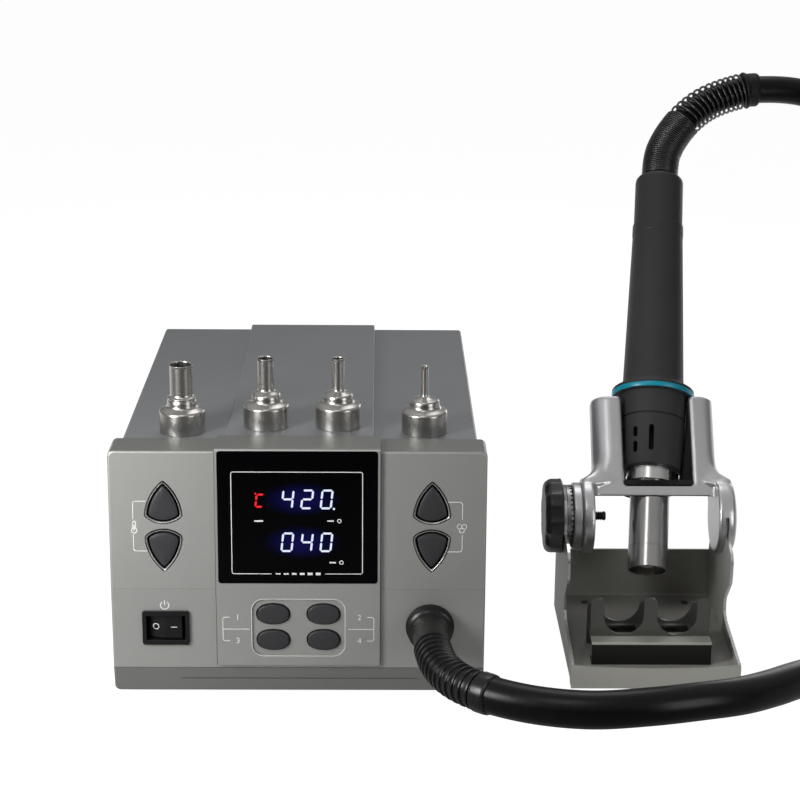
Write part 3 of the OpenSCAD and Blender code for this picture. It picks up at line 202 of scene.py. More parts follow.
# lit segments behind the window
for name, code, strength in (("ledWhite", "#dfe6ff", 1.1), ("ledRed", "#ff1a24", 1.0)):
    lamp = surface(name, "#101014", "#0c0c10", (0.3, 0.4), grain=0.5)
    lamp.inputs["Emission Color"].default_value = colour(code)
    lamp.inputs["Emission Strength"].default_value = strength
# smoked glass, with a faint blue glow painted round each row of figures, standing in for their light in the glass
glass = surface("glassBlack", "#040406", "#030304", (0.05, 0.08), grain=8, patch=80, speck=0, bump=0, gloss=0.08)
halo = {"x": 1.8, "zs": (47.5, 25.2), "reach": (0.021, 0.02, 0.0095)}
tree = materials["glassBlack"].node_tree
place, glow = node(tree, "ShaderNodeTexCoord").outputs["Object"], 0
for z in halo["zs"]:
    centre = station @ facePlace @ Vector((halo["x"], 0, z))
    away = node(tree, "ShaderNodeVectorMath", {0: place, 1: centre}, operation="SUBTRACT")
    scaled = node(tree, "ShaderNodeVectorMath", {0: away.outputs[0], 1: halo["reach"]}, operation="DIVIDE")
    reach = node(tree, "ShaderNodeVectorMath", {0: scaled.outputs[0]}, operation="LENGTH").outputs["Value"]
    lit = node(tree, "ShaderNodeMapRange", {0: reach, 1: 0.2, 2: 1, 3: 1, 4: 0}, interpolation_type="SMOOTHSTEP")
    glow = node(tree, "ShaderNodeMath", {0: glow, 1: lit.outputs[0]}, operation="ADD").outputs[0]
glass.inputs["Emission Color"].default_value = colour("#090940")
tree.links.new(glow, glass.inputs["Emission Strength"])
print("materials done")


# Mesh helpers: shapes are made in millimetres and placed at the end
def box(low, high):
    bm = bmesh.new()
    size = [b - a for a, b in zip(low, high)]
    middle = [(a + b) / 2 for a, b in zip(low, high)]
    bmesh.ops.create_cube(bm, size=1, matrix=shift(*middle) @ Matrix.Diagonal((*size, 1)))
    return bm


def bar(radius, low, high, axis="Z", steps=96, across=(0, 0)):  # a round bar along one axis
    bm = bmesh.new()
    turn = {"X": spun(90, "Y"), "Y": spun(-90, "X"), "Z": Matrix.Identity(4)}[axis]
    middle = (low + high) / 2
    place = {"X": (middle, *across), "Y": (across[0], middle, across[1]), "Z": (*across, middle)}[axis]
    bmesh.ops.create_cone(bm, cap_ends=True, segments=steps, radius1=radius, radius2=radius, depth=high - low,
                          matrix=shift(*place) @ turn)
    return bm


def outline(bm, points, plane="XZ", level=0, steps=6):
    # a flat face from points (a, b) or (a, b, radius), each corner rounded to its radius
    put = {"XZ": lambda a, b: (a, level, b), "YZ": lambda a, b: (level, a, b), "XY": lambda a, b: (a, b, level)}[plane]
    corners = [bm.verts.new(put(p[0], p[1])) for p in points]
    bm.faces.new(corners)
    count = len(points)
    for k, p in enumerate(points):
        if len(p) > 2 and p[2] > 0:
            here = Vector(p[:2])
            back, ahead = Vector(points[k - 1][:2]) - here, Vector(points[(k + 1) % count][:2]) - here
            half = back.angle(ahead) / 2
            bmesh.ops.bevel(bm, geom=[corners[k]], offset=p[2] / math.tan(half), offset_type="OFFSET",
                            segments=max(2, round(steps * (math.pi - 2 * half) / 1.5)), profile=0.5,
                            affect="VERTICES", material=-1)
    return list(bm.faces)[-1]


def thicken(bm, face, vector):  # pulls a flat face into a plate
    made = bmesh.ops.extrude_face_region(bm, geom=[face])["geom"]
    moved = [v for v in made if isinstance(v, bmesh.types.BMVert)]
    bmesh.ops.translate(bm, verts=moved, vec=vector)
    return [f for f in made if isinstance(f, bmesh.types.BMFace)][0]


def plate(points, plane, low, high, steps=6):
    bm = bmesh.new()
    face = outline(bm, points, plane, low, steps)
    depth = high - low
    thicken(bm, face, {"XZ": (0, depth, 0), "YZ": (depth, 0, 0), "XY": (0, 0, depth)}[plane])
    bmesh.ops.recalc_face_normals(bm, faces=bm.faces)
    return bm


def slab(w, h, r, low, high):  # an upright plate with four round corners, centred
    return plate(((-w / 2, -h / 2, r), (w / 2, -h / 2, r), (w / 2, h / 2, r), (-w / 2, h / 2, r)), "XZ", low, high)


def lathe(points, steps=96, closed=False):  # spins a profile of (radius, height) round Z
    bm = bmesh.new()
    line = [bm.verts.new((r, 0, z)) for r, z in points]
    edges = [bm.edges.new(pair) for pair in zip(line, line[1:])]
    if closed:
        edges.append(bm.edges.new((line[-1], line[0])))
    bmesh.ops.spin(bm, geom=line + edges, cent=(0, 0, 0), axis=(0, 0, 1), angle=math.tau, steps=steps,
                   use_merge=True)
    bmesh.ops.remove_doubles(bm, verts=bm.verts, dist=1e-4)
    bmesh.ops.recalc_face_normals(bm, faces=bm.faces)
    return bm


def rounded(points, radius=0.4, steps=3):  # rounds every inner corner of a profile line
    made = [points[0]]
    for before, here, after in zip(points, points[1:], points[2:]):
        here, a, b = Vector(here), Vector(before), Vector(after)
        ends = (a - here).length, (b - here).length
        reach = min(radius, 0.45 * ends[0], 0.45 * ends[1])
        p, q = here + (a - here).normalized() * reach, here + (b - here).normalized() * reach
        for k in range(steps + 1):
            t = k / steps
            made.append(tuple(p * (1 - t) ** 2 + here * 2 * t * (1 - t) + q * t * t))
    return made + [points[-1]]


def moved(bm, matrix):
    bmesh.ops.transform(bm, matrix=matrix, verts=bm.verts)
    return bm


def taken(mesh):  # a bmesh from a mesh that isn't needed any more
    bm = bmesh.new()
    bm.from_mesh(mesh)
    bpy.data.meshes.remove(mesh)
    return bm


def join(*parts):
    bm = bmesh.new()
    for part in parts:
        mesh = bpy.data.meshes.new("part")
        part.to_mesh(mesh)
        part.free()
        bm.from_mesh(mesh)
        bpy.data.meshes.remove(mesh)
    return bm


def holder(bm, name="holder"):
    mesh = bpy.data.meshes.new(name)
    bm.to_mesh(mesh)
    bm.free()
    return linked(name, mesh)


def evaluated(made):  # the object's mesh with its modifiers applied
    return bpy.data.meshes.new_from_object(made.evaluated_get(context.evaluated_depsgraph_get()))


def released(made):
    mesh = evaluated(made)
    bpy.data.meshes.remove(made.data)
    return taken(mesh)


def fromCurve(data):  # from a curve or a text
    mesh = evaluated(linked("curve", data))
    bpy.data.curves.remove(data)
    return taken(mesh)


def carve(bm, *tools, operation="DIFFERENCE"):
    for tool in tools:
        target, cutter = holder(bm), holder(tool)
        modifier = target.modifiers.new("carve", "BOOLEAN")
        modifier.object, modifier.operation, modifier.solver = cutter, operation, "EXACT"
        bm = released(target)
        bpy.data.meshes.remove(cutter.data)
    return bm


def roundEdges(bm, edges, width, steps=3):
    bmesh.ops.bevel(bm, geom=list(edges), offset=width, offset_type="OFFSET", segments=steps, profile=0.5,
                    affect="EDGES", material=-1, clamp_overlap=True)


def ringAround(x0, x1, y0, y1, z, radii, steps=7):  # a rounded rectangle; one radius for each corner
    corners = ((x0, y0, 180), (x1, y0, 270), (x1, y1, 0), (x0, y1, 90))
    made = []
    for (x, y, start), r in zip(corners, radii):
        cx, cy = x + (r if x == x0 else -r), y + (r if y == y0 else -r)
        for k in range(steps + 1):
            turn = math.radians(start + 90 * k / steps)
            made.append((cx + r * math.cos(turn), cy + r * math.sin(turn), z))
    return made


def stack(rings, capped=True):  # a solid through rings with the same number of points
    bm = bmesh.new()
    loops = []
    for ring in rings:
        verts = [bm.verts.new(p) for p in ring]
        loops.append([bm.edges.new((verts[k - 1], verts[k])) for k in range(len(verts))])
    for a, b in zip(loops, loops[1:]):
        bmesh.ops.bridge_loops(bm, edges=a + b)
    for loop in (loops[0], loops[-1]) if capped else ():
        bmesh.ops.contextual_create(bm, geom=loop)
    bmesh.ops.remove_doubles(bm, verts=bm.verts, dist=1e-4)
    bmesh.ops.recalc_face_normals(bm, faces=bm.faces)
    return bm


def fused(parts, voxel, rounds):  # melts closed parts into one casting with soft edges
    target = holder(join(*parts))
    melt = target.modifiers.new("melt", "REMESH")
    melt.mode, melt.voxel_size = "VOXEL", voxel
    soft = target.modifiers.new("soft", "SMOOTH")
    soft.factor, soft.iterations = 0.5, rounds
    return released(target)


def makePiece(name, bm, material, slot, stands=None, place=Matrix.Identity(4), body="station", bevel=0, steps=2,
              angle=32, inside=()):
    piece = holder(moved(bm, station @ place), name)
    plain = piece.data
    plain.polygons.foreach_set("use_smooth", [True] * len(plain.polygons))
    if bevel:
        edge = piece.modifiers.new("edge", "BEVEL")
        edge.width, edge.segments, edge.limit_method = bevel / 1000, steps, "ANGLE"
        edge.angle_limit, edge.use_clamp_overlap = math.radians(angle), True
    else:
        plain.set_sharp_from_angle(angle=math.radians(angle))
    piece.modifiers.new("shade", "WEIGHTED_NORMAL").keep_sharp = True
    mesh = evaluated(piece)
    piece.modifiers.clear()
    piece.data = mesh
    bpy.data.meshes.remove(plain)
    mesh.name = name
    mesh.materials.clear()
    mesh.materials.append(materials[material])
    back = (station @ place).inverted()
    for number, (finish, low, high, *axis) in enumerate(inside, 1):  # the faces in a box get another finish, which paints shade and highlights on them
        mesh.materials.append(materials[finish])
        for face in mesh.polygons:
            if all(a < c < b for a, c, b in zip(low, back @ face.center, high)) and not (
                    axis and abs(face.normal[axis[0]]) > 0.5):
                face.material_index = number
    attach(piece, body)
    if stands:
        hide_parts(stands)
    return piece


# Cords: the hose in two runs, its boot and its springs
def curveAt(points, u):  # a smooth line through the points
    last = len(points) - 1
    k = min(int(u), last - 1)
    t = u - k
    a, b, c, d = points[max(k - 1, 0)], points[k], points[k + 1], points[min(k + 2, last)]
    return 0.5 * (2 * b + (c - a) * t + (2 * a - 5 * b + 4 * c - d) * t * t + (3 * b - a - 3 * c + d) * t ** 3)


def slopeAt(points, u):
    last = len(points) - 1
    return (curveAt(points, min(u + 0.02, last)) - curveAt(points, max(u - 0.02, 0))).normalized()


def onAxis(x, s):
    return axisPlace @ Vector((x, 0, s))


def onGrip(s):
    return handlePlace @ Vector((0, 0, s))


hose = {"low": 18.2, "high": 16, "capTop": 204.4, "points": 190,
        "taper": 0.375,  # the part of the upper run over which it narrows
        "bend": (212, 385),  # the handle end and the far end of what bends, along x
        "yokeFrom": 130,  # the point of the lower hose from which it bends with the yoke
        "coil": 21.2,  # across the springs
        # each spring's node, wire, turns, points a turn, and where it starts and ends on its line
        "springs": {"bendSpring": ("bend_spring", 1.1, 33, 20, 0.11, 2.14),
                    "openSpring": ("open_spring", 1.4, 12, 24, 2.22, 4.55)},
        "collarSpan": (4.6, 5.09), "collar": (-0.9, -0.1, 0.2, 0.2, -0.1, -0.7, *[-0.8] * 6, -0.9, -1.6),
        "lowerStart": 3.92}  # where the lower hose starts on its line, inside the boot
# the boot's (place on the line, radius): a trumpet at the panel, thirteen ribs, a plain collar at the hose
boot = {"trumpet": ((0.03, 11.6), (0.07, 10.9), (0.12, 10.1), (0.22, 9.4), (0.36, 8.9), (0.55, 8.6), (0.8, 8.55),
                    (0.98, 8.6)),
        "rib": ((0.0, 8.45), (0.44, 8.45), (0.5, 8.6), (0.56, 9.35), (0.63, 9.5), (0.82, 9.5), (0.89, 9.35),
                (0.95, 8.6)),
        "start": 1.0, "ribs": 13, "run": 2.62,
        "collar": ((3.63, 8.5), (3.65, 9.6), (3.68, 9.9), (3.9, 9.9), (3.96, 9.75), (4, 9.3))}
lowerLine = [Vector(p) for p in (
    (66.3, -5, 41.3), (66.8, -25, 41.3), (70.3, -48, 41.3), (78.8, -66, 41.3), (93.8, -80, 41.3), (115, -91, 41.5),
    (139, -97, 42.3), (165, -96, 43.5), (189, -88.5, 42.7), (210, -77, 40), (228, -62, 37), (245, -45, 33.8),
    (274, -15, 26.5), (305, 14, 18.5), (333, 38, 13.5), (360, 59, 16), (380, 69, 31))]
lowerLine += [onAxis(395.5, -18.8), onAxis(398, 0)]
bendLine = [onAxis(*p) for p in ((206, 221.5), (216, 238.5), (230, 252), (246, 259.8), (262, 263.4), (289, 262))]
upperLine = ([onAxis(*p) for p in ((398, 0), (404, 45), (404, 95), (397, 145), (380, 192), (352, 230), (320, 251))]
             + bendLine[::-1] + [onGrip(hose["capTop"] + 4.5), onGrip(hose["capTop"] + 0.3)])
springLine = [onGrip(hose["capTop"])] + bendLine


def sweep(centres, radii, sides=20):  # a round tube through the centres
    data = bpy.data.curves.new("tube", "CURVE")
    data.dimensions, data.bevel_depth, data.bevel_resolution, data.use_fill_caps = "3D", 1, sides // 4 - 1, True
    data.twist_mode = "MINIMUM"
    line = data.splines.new("POLY")
    line.points.add(len(centres) - 1)
    for point, centre, radius in zip(line.points, centres, radii):
        point.co, point.radius = (*centre, 1), radius
    bm = fromCurve(data)
    bmesh.ops.remove_doubles(bm, verts=bm.verts, dist=1e-4)
    bmesh.ops.recalc_face_normals(bm, faces=bm.faces)
    return bm


def along(points, low, high, count):
    return [curveAt(points, low + (high - low) * k / (count - 1)) for k in range(count)]


def helix(points, low, high, turns, radius, perTurn):  # the centres of a coil round a line
    side = axisPlace.to_3x3() @ Vector((0, -1, 0))
    made = []
    for k in range(int(turns * perTurn) + 1):
        u = low + (high - low) * k / (turns * perTurn)
        ahead = slopeAt(points, u)
        across = ahead.cross(side).normalized()
        over = ahead.cross(across)
        turn = math.tau * k / perTurn
        made.append(curveAt(points, u) + radius * (math.cos(turn) * across + math.sin(turn) * over))
    return made


def bendBetween(piece, first, second, start, end):  # lets go of the body that makePiece gave and bakes its place into the mesh
    world = piece.matrix_world.copy()
    piece.parent = None
    piece.matrix_world = world
    del piece["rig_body"]
    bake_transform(piece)


def makeHoses():
    count = hose["points"]
    path = along(upperLine, 0.01, len(upperLine) - 1, count)
    radii = [hose["high"] / 2 + (hose["low"] - hose["high"]) / 2 * max(0, 1 - k / count / hose["taper"])
             for k in range(count)]
    upper = makePiece("upperHose", sweep(path, radii, 24), "hoseRubber", "hose_black", "upper_hose", angle=60)
    ring, fittings = hose["coil"] / 2, []
    for name, (stands, wire, turns, perTurn, low, high) in hose["springs"].items():
        centres = helix(springLine, low, high, turns, ring - wire / 2, perTurn)
        fittings.append(makePiece(name, sweep(centres, [wire / 2] * len(centres), 8), "springSteel", "spring_steel",
                                  stands, angle=80))
    centres = along(springLine, *hose["collarSpan"], len(hose["collar"]))
    fittings.append(makePiece("springCollar", sweep(centres, [ring + grow for grow in hose["collar"]], 32),
                              "footRubber", "foot_rubber", "spring_collar", angle=50))
    bend = [station @ Vector((x, 0, 0)) for x in hose["bend"]]
    for piece in (upper, *fittings):
        bendBetween(piece, "handle", "yoke", *bend)

    rings = [*boot["trumpet"]]
    for k in range(boot["ribs"]):
        start, step = boot["start"] + k * boot["run"] / boot["ribs"], boot["run"] / boot["ribs"]
        rings += [(start + part * step, radius) for part, radius in boot["rib"]]
    rings += boot["collar"]
    ribbed = makePiece("hoseBoot", sweep([curveAt(lowerLine, u) for u, _ in rings], [r for _, r in rings], 40),
                       "bootRubber", "foot_rubber", "hose_boot", angle=30)
    path = along(lowerLine, hose["lowerStart"], len(lowerLine) - 1, count)
    lower = makePiece("lowerHose", sweep(path, [hose["low"] / 2] * count, 24), "hoseRubber", "hose_black",
                      "lower_hose", angle=60)
    bendBetween(lower, "station", "yoke", station @ path[hose["yokeFrom"]], station @ path[-1])


makeHoses()
print("hoses done")

# Console: front bezel
bezel = {"half": 94, "line": ((24, 133), (3.7, 133), (0, 61.5), (0, 18.5), (2.5, 4.5), (24, 4.5)), "corner": 3,
         "front": 1.2, "crease": 0.8, "opening": (40.9, 41.45), "seams": (0.25, 0.5)}
# the shields' rim and cap are lines of (growth, depth)
shield = {"x": 66.8, "up": 45.2, "down": 20.2, "side": 25.4, "base": 12.9, "gap": 1.0, "groove": 0.4,
          "rim": ((-0.25, 1.8), (-0.25, -0.25), (-0.32, -0.42), (-0.44, -0.45), (-0.58, -0.34), (-0.85, 0.1),
                  (-0.85, 2.9), (-0.5, 2.9), (-0.5, 1.8), (-0.25, 1.8)),
          "cap": ((0, 4.2), (0, -0.1), (-0.15, -0.35), (-0.45, -0.5), (-1.3, -0.72), (-1.6, -0.75), (-2.4, -0.86),
                  (-3.3, -0.94), (-4.4, -1.0))}


def shieldPoints(grow, turned=1, steps=90):  # a rounded triangle between three arcs
    circles = (((16.1, -8.7), shield["side"] + grow), ((-16.1, -8.7), shield["side"] + grow),
               ((0, 1.93), shield["base"] + grow))
    made = []
    for k in range(steps):
        turn = math.tau * (k + 0.5) / steps
        reach = []
        for (cx, cz), radius in circles:
            dot = cx * math.cos(turn) + cz * math.sin(turn)
            reach.append(dot + math.sqrt(dot * dot - cx * cx - cz * cz + radius * radius))
        r = sum(d ** -34 for d in reach) ** (-1 / 34)
        made.append((r * math.cos(turn), turned * r * math.sin(turn)))
    return made


def shieldStack(steps, turned, capped=True):  # a shield through (growth, depth) steps
    return stack([[(x, y, z) for x, z in shieldPoints(grow, turned)] for grow, y in steps], capped)


def atShields():
    return [(x, shield[way], turned) for x in (-shield["x"], shield["x"]) for way, turned in (("up", 1), ("down", -1))]


def shieldTools(grow, low, high):
    return join(*(moved(plate(shieldPoints(grow, turned), "XZ", low, high),
                        facePlace @ shift(x, 0, z)) for x, z, turned in atShields()))


def makeBezel():
    bm = plate(bezel["line"], "YZ", -bezel["half"], bezel["half"])
    roundEdges(bm, [e for e in bm.edges if abs(e.verts[0].co.x - e.verts[1].co.x) < 0.01
                    and abs(e.verts[0].co.z - e.verts[1].co.z) < 0.01], bezel["corner"], 6)
    bm.normal_update()
    front = {f for f in bm.faces if f.normal.y < -0.9}
    roundEdges(bm, [e for e in bm.edges if len(front.intersection(e.link_faces)) == 1], bezel["front"], 4)
    roundEdges(bm, [e for e in bm.edges if e.calc_length() > 150 and e.verts[0].co.y < 0.01
                    and min(abs(e.verts[0].co.z - z) for z in creases) < 0.01], bezel["crease"], 3)
    inner = plate(((25, 130), (6.7, 130), (3, 61.5), (3, 18.5), (5.5, 7.5), (25, 7.5)), "YZ", -91, 91)
    slot = box((-60, -1, 11.8), (60, 1.75, 12.4))
    openings = join(box((-78, -2, 31.6), (-55.5, 9, 49.6)), box((-36, -2, 24), (36, 9, 58)),
                    bar(9.6, -2, 9, "Y", 48, (66.3, 41.3)))
    window = moved(slab(76, 65, 1, -4, 9), windowPlace)
    # a gap round the fascia, and fine seams at the two creases
    run = ((-3, 19.9), (1.2, 19.9), (1.2, 61.5), (4.9, 131.8), (24.5, 131.8), (24.5, 140), (-3, 140))
    near, far = bezel["opening"]
    under = box((-far, -3, 19.95), (far, 1.2, 20.5))
    seams = join(*(box((-95, -1, level - 0.16), (95, depth, level + 0.16))
                   for level, depth in zip(creases, bezel["seams"])))
    gaps = join(plate(run, "YZ", near, far), plate(run, "YZ", -far, -near))
    bm = carve(carve(bm, seams), gaps, under)
    bm = carve(bm, inner, slot, openings, window, shieldTools(shield["groove"], -3, 1.8),
               shieldTools(-0.4, -3, 9))
    # the ledge top and the foot get the darker coat: painted shade
    makePiece("frontBezel", bm, "bezelPaint", "bezel_paint", "front_bezel", angle=24,
              inside=[("ledgePaint", (-95, 0.5, 132.6), (95, 25, 136)), ("ledgePaint", (-95, -1, 4), (95, 3, 18.4))])
    rims = join(*(moved(shieldStack(shield["rim"], turned, False), shift(x, 0, z)) for x, z, turned in atShields()))
    # the rims are painted brighter as a highlight, and their walls in the gaps round the caps painted black as shade
    makePiece("buttonRims", rims, "rimPaint", "bezel_paint", place=facePlace, angle=24,
              inside=[("footRubber", (-100, 0.3, -100), (100, 5, 100))])


def makeShieldButtons():
    edge = min(grow for grow, _ in shield["rim"]) - shield["gap"]
    for x, z, turned in atShields():
        kind, way = ("temp", "air")[x > 0], ("down", "up")[turned > 0]
        cap = shieldStack([(edge + grow, y) for grow, y in shield["cap"]], turned)
        makePiece(f"{kind}{way.title()}Button", cap, "keyPlastic", "button", f"{kind}_{way}_button",
                  place=facePlace @ shift(x, 0, z), body=f"{kind}_{way}_button", angle=24)


# Console: centre fascia with the window, the channel keys and the printed marks
fascia = {"half": 41, "line": ((0, 20.5), (0, 61.5), (3.7, 133), (24, 133), (24, 134.8, 0.6), (1.9, 134.8),
                               (-1.8, 61.5), (-1.8, 20.5)), "edge": 0.5,
          "window": (79.4, 68.4), "recess": (47, 31, 6), "recessZ": 41.2}
key = {"w": 16, "h": 10.4, "x": 12.65, "zs": (48.35, 34.35), "gap": 0.65,
       "cap": ((0, 3), (0, -1.7), (-0.12, -1.98), (-0.37, -2.18), (-1, -2.33), (-2.2, -2.43), (-3.6, -2.49))}


def oval(grow, y, steps=72):  # between an ellipse and a stadium
    made = []
    for k in range(steps):
        a = math.tau * k / steps
        c, t = math.cos(a), math.sin(a)
        made.append(((key["w"] / 2 + grow) * math.copysign(abs(c) ** 0.9, c), y,
                     (key["h"] / 2 + grow) * math.copysign(abs(t) ** 0.9, t)))
    return made


def makeFascia():
    bm = plate(fascia["line"], "YZ", -fascia["half"], fascia["half"])
    roundEdges(bm, [e for e in bm.edges if e.calc_length() > 60 and abs(e.verts[0].co.z - 134.8) < 0.01
                    and abs(e.verts[0].co.y - 1.9) < 0.1 and abs(e.verts[1].co.y - 1.9) < 0.1], 1.3, 4)
    w, h = fascia["window"]
    pocket = moved(slab(w + 0.4, h + 0.4, 1.5, -4, -0.6), windowPlace)
    recess = moved(slab(*fascia["recess"], -4, -0.8), shift(0, 0, fascia["recessZ"]))
    holes = join(*(moved(stack([oval(key["gap"], -1.5), oval(key["gap"], 3)]), shift(x, 0, z))
                   for x in (-key["x"], key["x"]) for z in key["zs"]))
    bm = carve(bm, pocket, recess, holes)
    # the fascia's top gets the darker coat as painted shade, and the walls of the key holes the brighter paint as a
    # painted highlight
    makePiece("centreFascia", bm, "bezelPaint", "bezel_paint", "centre_fascia", bevel=fascia["edge"], steps=3,
              angle=40, inside=[("ledgePaint", (-42, 2, 134.4), (42, 25, 136)),
                                ("rimPaint", (-22, -0.79, 28), (22, -0.1, 54))])
    makePiece("displayWindow", slab(w, h, 1.3, -1.8, -0.61), "glassBlack", "window", "display_window",
              place=windowPlace, bevel=0.2)
    spots = [(x, z) for z in key["zs"] for x in (-key["x"], key["x"])]
    for number, (x, z) in enumerate(spots, 1):
        cap = stack([oval(grow, y) for grow, y in key["cap"]])
        makePiece(f"channelKey{number}", cap, "keyPlastic", "button", f"channel_{number}_key",
                  place=shift(x, 0, z), body=f"channel_{number}_key", angle=24)


# Printed marks: thin flat lines of ink on the panel and on the window
def flatLine(points, width, level, place=facePlace):
    centres = [Vector((x, 0, z)) for x, z in points]
    bm = sweep(centres, [width / 2] * len(centres), 8)
    bmesh.ops.scale(bm, vec=(1, 0.08, 1), verts=bm.verts)
    return moved(bm, place @ shift(0, level, 0))


def ringPoints(cx, cz, radius, steps=24):
    return [(cx + radius * math.cos(math.tau * k / steps), cz + radius * math.sin(math.tau * k / steps))
            for k in range(steps + 1)]


segments = {"a": ((0, 1), (1, 1)), "b": ((1, 1), (1, 0.5)), "c": ((1, 0.5), (1, 0)), "d": ((0, 0), (1, 0)),
            "e": ((0, 0.5), (0, 0)), "f": ((0, 1), (0, 0.5)), "g": ((0, 0.5), (1, 0.5))}
figures = {"0": "abcdef", "4": "fgbc", "2": "abged", "C": "afed"}
display = {"w": 5.0, "h": 9.2, "stroke": 1.0, "slant": 0.11, "level": -1.86,
           "rows": (("420", (-7.9, 1.75, 11.4), 42.9), ("040", (-8.2, 1.5, 11.2), 20.6))}


def figure(sign, x, z, w, h):  # one lit figure of seven six-sided strokes
    bm, half = bmesh.new(), display["stroke"] / 2
    for name in figures[sign]:
        (ax, az), (bx, bz) = segments[name]
        a, b = Vector((ax * w, az * h)), Vector((bx * w, bz * h))
        ahead = (b - a).normalized()
        side = Vector((-ahead.y, ahead.x)) * half
        a, b = a + ahead * half * 0.35, b - ahead * half * 0.35
        ring = (a, a + ahead * half + side, b - ahead * half + side, b, b - ahead * half - side,
                a + ahead * half - side)
        face = bm.faces.new([bm.verts.new((x + p.x + display["slant"] * p.y, 0, z + p.y)) for p in ring])
        thicken(bm, face, (0, 0.03, 0))
    bmesh.ops.recalc_face_normals(bm, faces=bm.faces)
    return moved(bm, facePlace @ shift(0, display["level"], 0))


def atGlass(bm, x, z):
    return moved(bm, facePlace @ shift(x, display["level"], z))


def makeMarks():
    lit = [figure(sign, x, z, display["w"], display["h"]) for signs, xs, z in display["rows"]
           for sign, x in zip(signs, xs)]
    lit.append(atGlass(slab(1.1, 1.1, 0.5, 0, 0.03), 18.0, 42.6))
    makePiece("displayFigures", join(*lit), "ledWhite", "window")
    degree = atGlass(slab(0.9, 0.9, 0.4, 0, 0.03), -20.9, 50.4)
    makePiece("displayUnit", join(figure("C", -20.9, 43.6, 3.6, 6.3), degree), "ledRed", "window")

    frameLine = rounded(((-13.2, 8.6), (-32.9, 8.6), (-32.9, 61.5), (32.2, 61.5), (32.2, 8.6), (13.6, 8.6)), 1.2, 5)
    glass = [(frameLine, 0.42)]
    for k, x in enumerate((-9.9, -5.9, -1.9, 2.1, 6.1, 10.1)):  # a row of level marks in the gap of the frame
        glass.append((((x - 1.2, 8.6), (x + 1.2, 8.6)), 0.8 + 0.16 * k))
    for x, z in ((14.7, 36.3), (15.7, 14.6)):  # small pointers beside the two readings
        glass += [(((x, z), (x + 3.2, z)), 0.9), (ringPoints(x + 6, z, 0.9, 16), 0.45)]
    glass.append((((-21.6, 36.2), (-17.2, 36.2)), 0.9))
    makePiece("windowPrint", join(*(flatLine(points, width, -1.83) for points, width in glass)), "inkOnGlass",
              "window")

    lines = []
    for side, inside in ((-1, 75.0), (1, 74.6)):
        for z, end in ((45.7, 36.6), (19.8, 28.6)):
            lines.append((rounded(((side * inside, z), (side * 81.9, z), (side * 81.9, end)), 1.6, 5), 0.4))
    # a thermometer on the left and a fan on the right
    stem = ((-82.1, 31.7), (-82.1, 35.0), (-81.4, 35.5), (-80.7, 35.0), (-80.7, 31.7))
    lines += [(ringPoints(-81.4, 30.5, 1.35, 20), 0.5), (rounded(stem, 0.5, 5), 0.4),
              (((-81.4, 30.5), (-81.4, 33.6)), 0.45)]
    for k in range(3):
        turn = math.tau * k / 3 + 0.5
        blade = [(81.7 + 1.35 * math.cos(turn) + 1.2 * math.cos(turn + math.tau * j / 16),
                  32.3 + 1.35 * math.sin(turn) + 1.2 * math.sin(turn + math.tau * j / 16)) for j in range(17)]
        lines.append((blade, 0.4))
    panel = [flatLine(points, width, -0.02) for points, width in lines]
    # power sign over the switch, brackets at the keys and a line round their recess, all on the upright part; the line
    # round the recess is a painted highlight of its edge
    sign = [(-67.2 + 2.1 * math.sin(a), 52.5 + 2.1 * math.cos(a)) for a in
            (0.6 + (math.tau - 1.2) * k / 20 for k in range(21))]
    lines = [(sign, 0.55, -0.02), (((-67.2, 52.8), (-67.2, 55.1)), 0.55, -0.02)]
    for side, inside in ((-1, 24.6), (1, 25.0)):
        bracket = ((side * 34.6, 46.9), (side * 38, 46.9), (side * 38, 34.0), (side * 34.6, 34.0))
        lines += [(rounded(bracket, 1.4, 5), 0.4, -1.82), (((side * inside, 40.4), (side * 38, 40.4)), 0.4, -1.82)]
    # a painted highlight along the recess edge, drawn as a line of ink
    w, h, r = fascia["recess"]
    ring = ringAround(-w / 2, w / 2, fascia["recessZ"] - h / 2, fascia["recessZ"] + h / 2, 0, (r, r, r, r))
    lines.append(([(x, z) for x, z, _ in ring + ring[:1]], 0.32, -1.81))
    panel += [flatLine(points, width, level, Matrix.Identity(4)) for points, width, level in lines]
    for word, x, z in (("1", -30.5, 46.7), ("2", 30.7, 46.7), ("3", -30.5, 34.0), ("4", 30.7, 34.0)):
        data = bpy.data.curves.new("number", "FONT")
        data.body, data.size, data.align_x, data.align_y, data.extrude = word, 4.2, "CENTER", "CENTER", 0.01
        panel.append(moved(fromCurve(data), shift(x, -1.82, z) @ spun(90, "X")))
    makePiece("panelPrint", join(*panel), "ink", "bezel_paint", angle=60)


# Console: power switch
switch = {"x": -66.75, "z": 40.6, "w": 23.7, "h": 18.2, "rocker": (18.6, 12.4), "pivot": 5, "tilt": 8,
          "slope": 1.4 / 8.9}


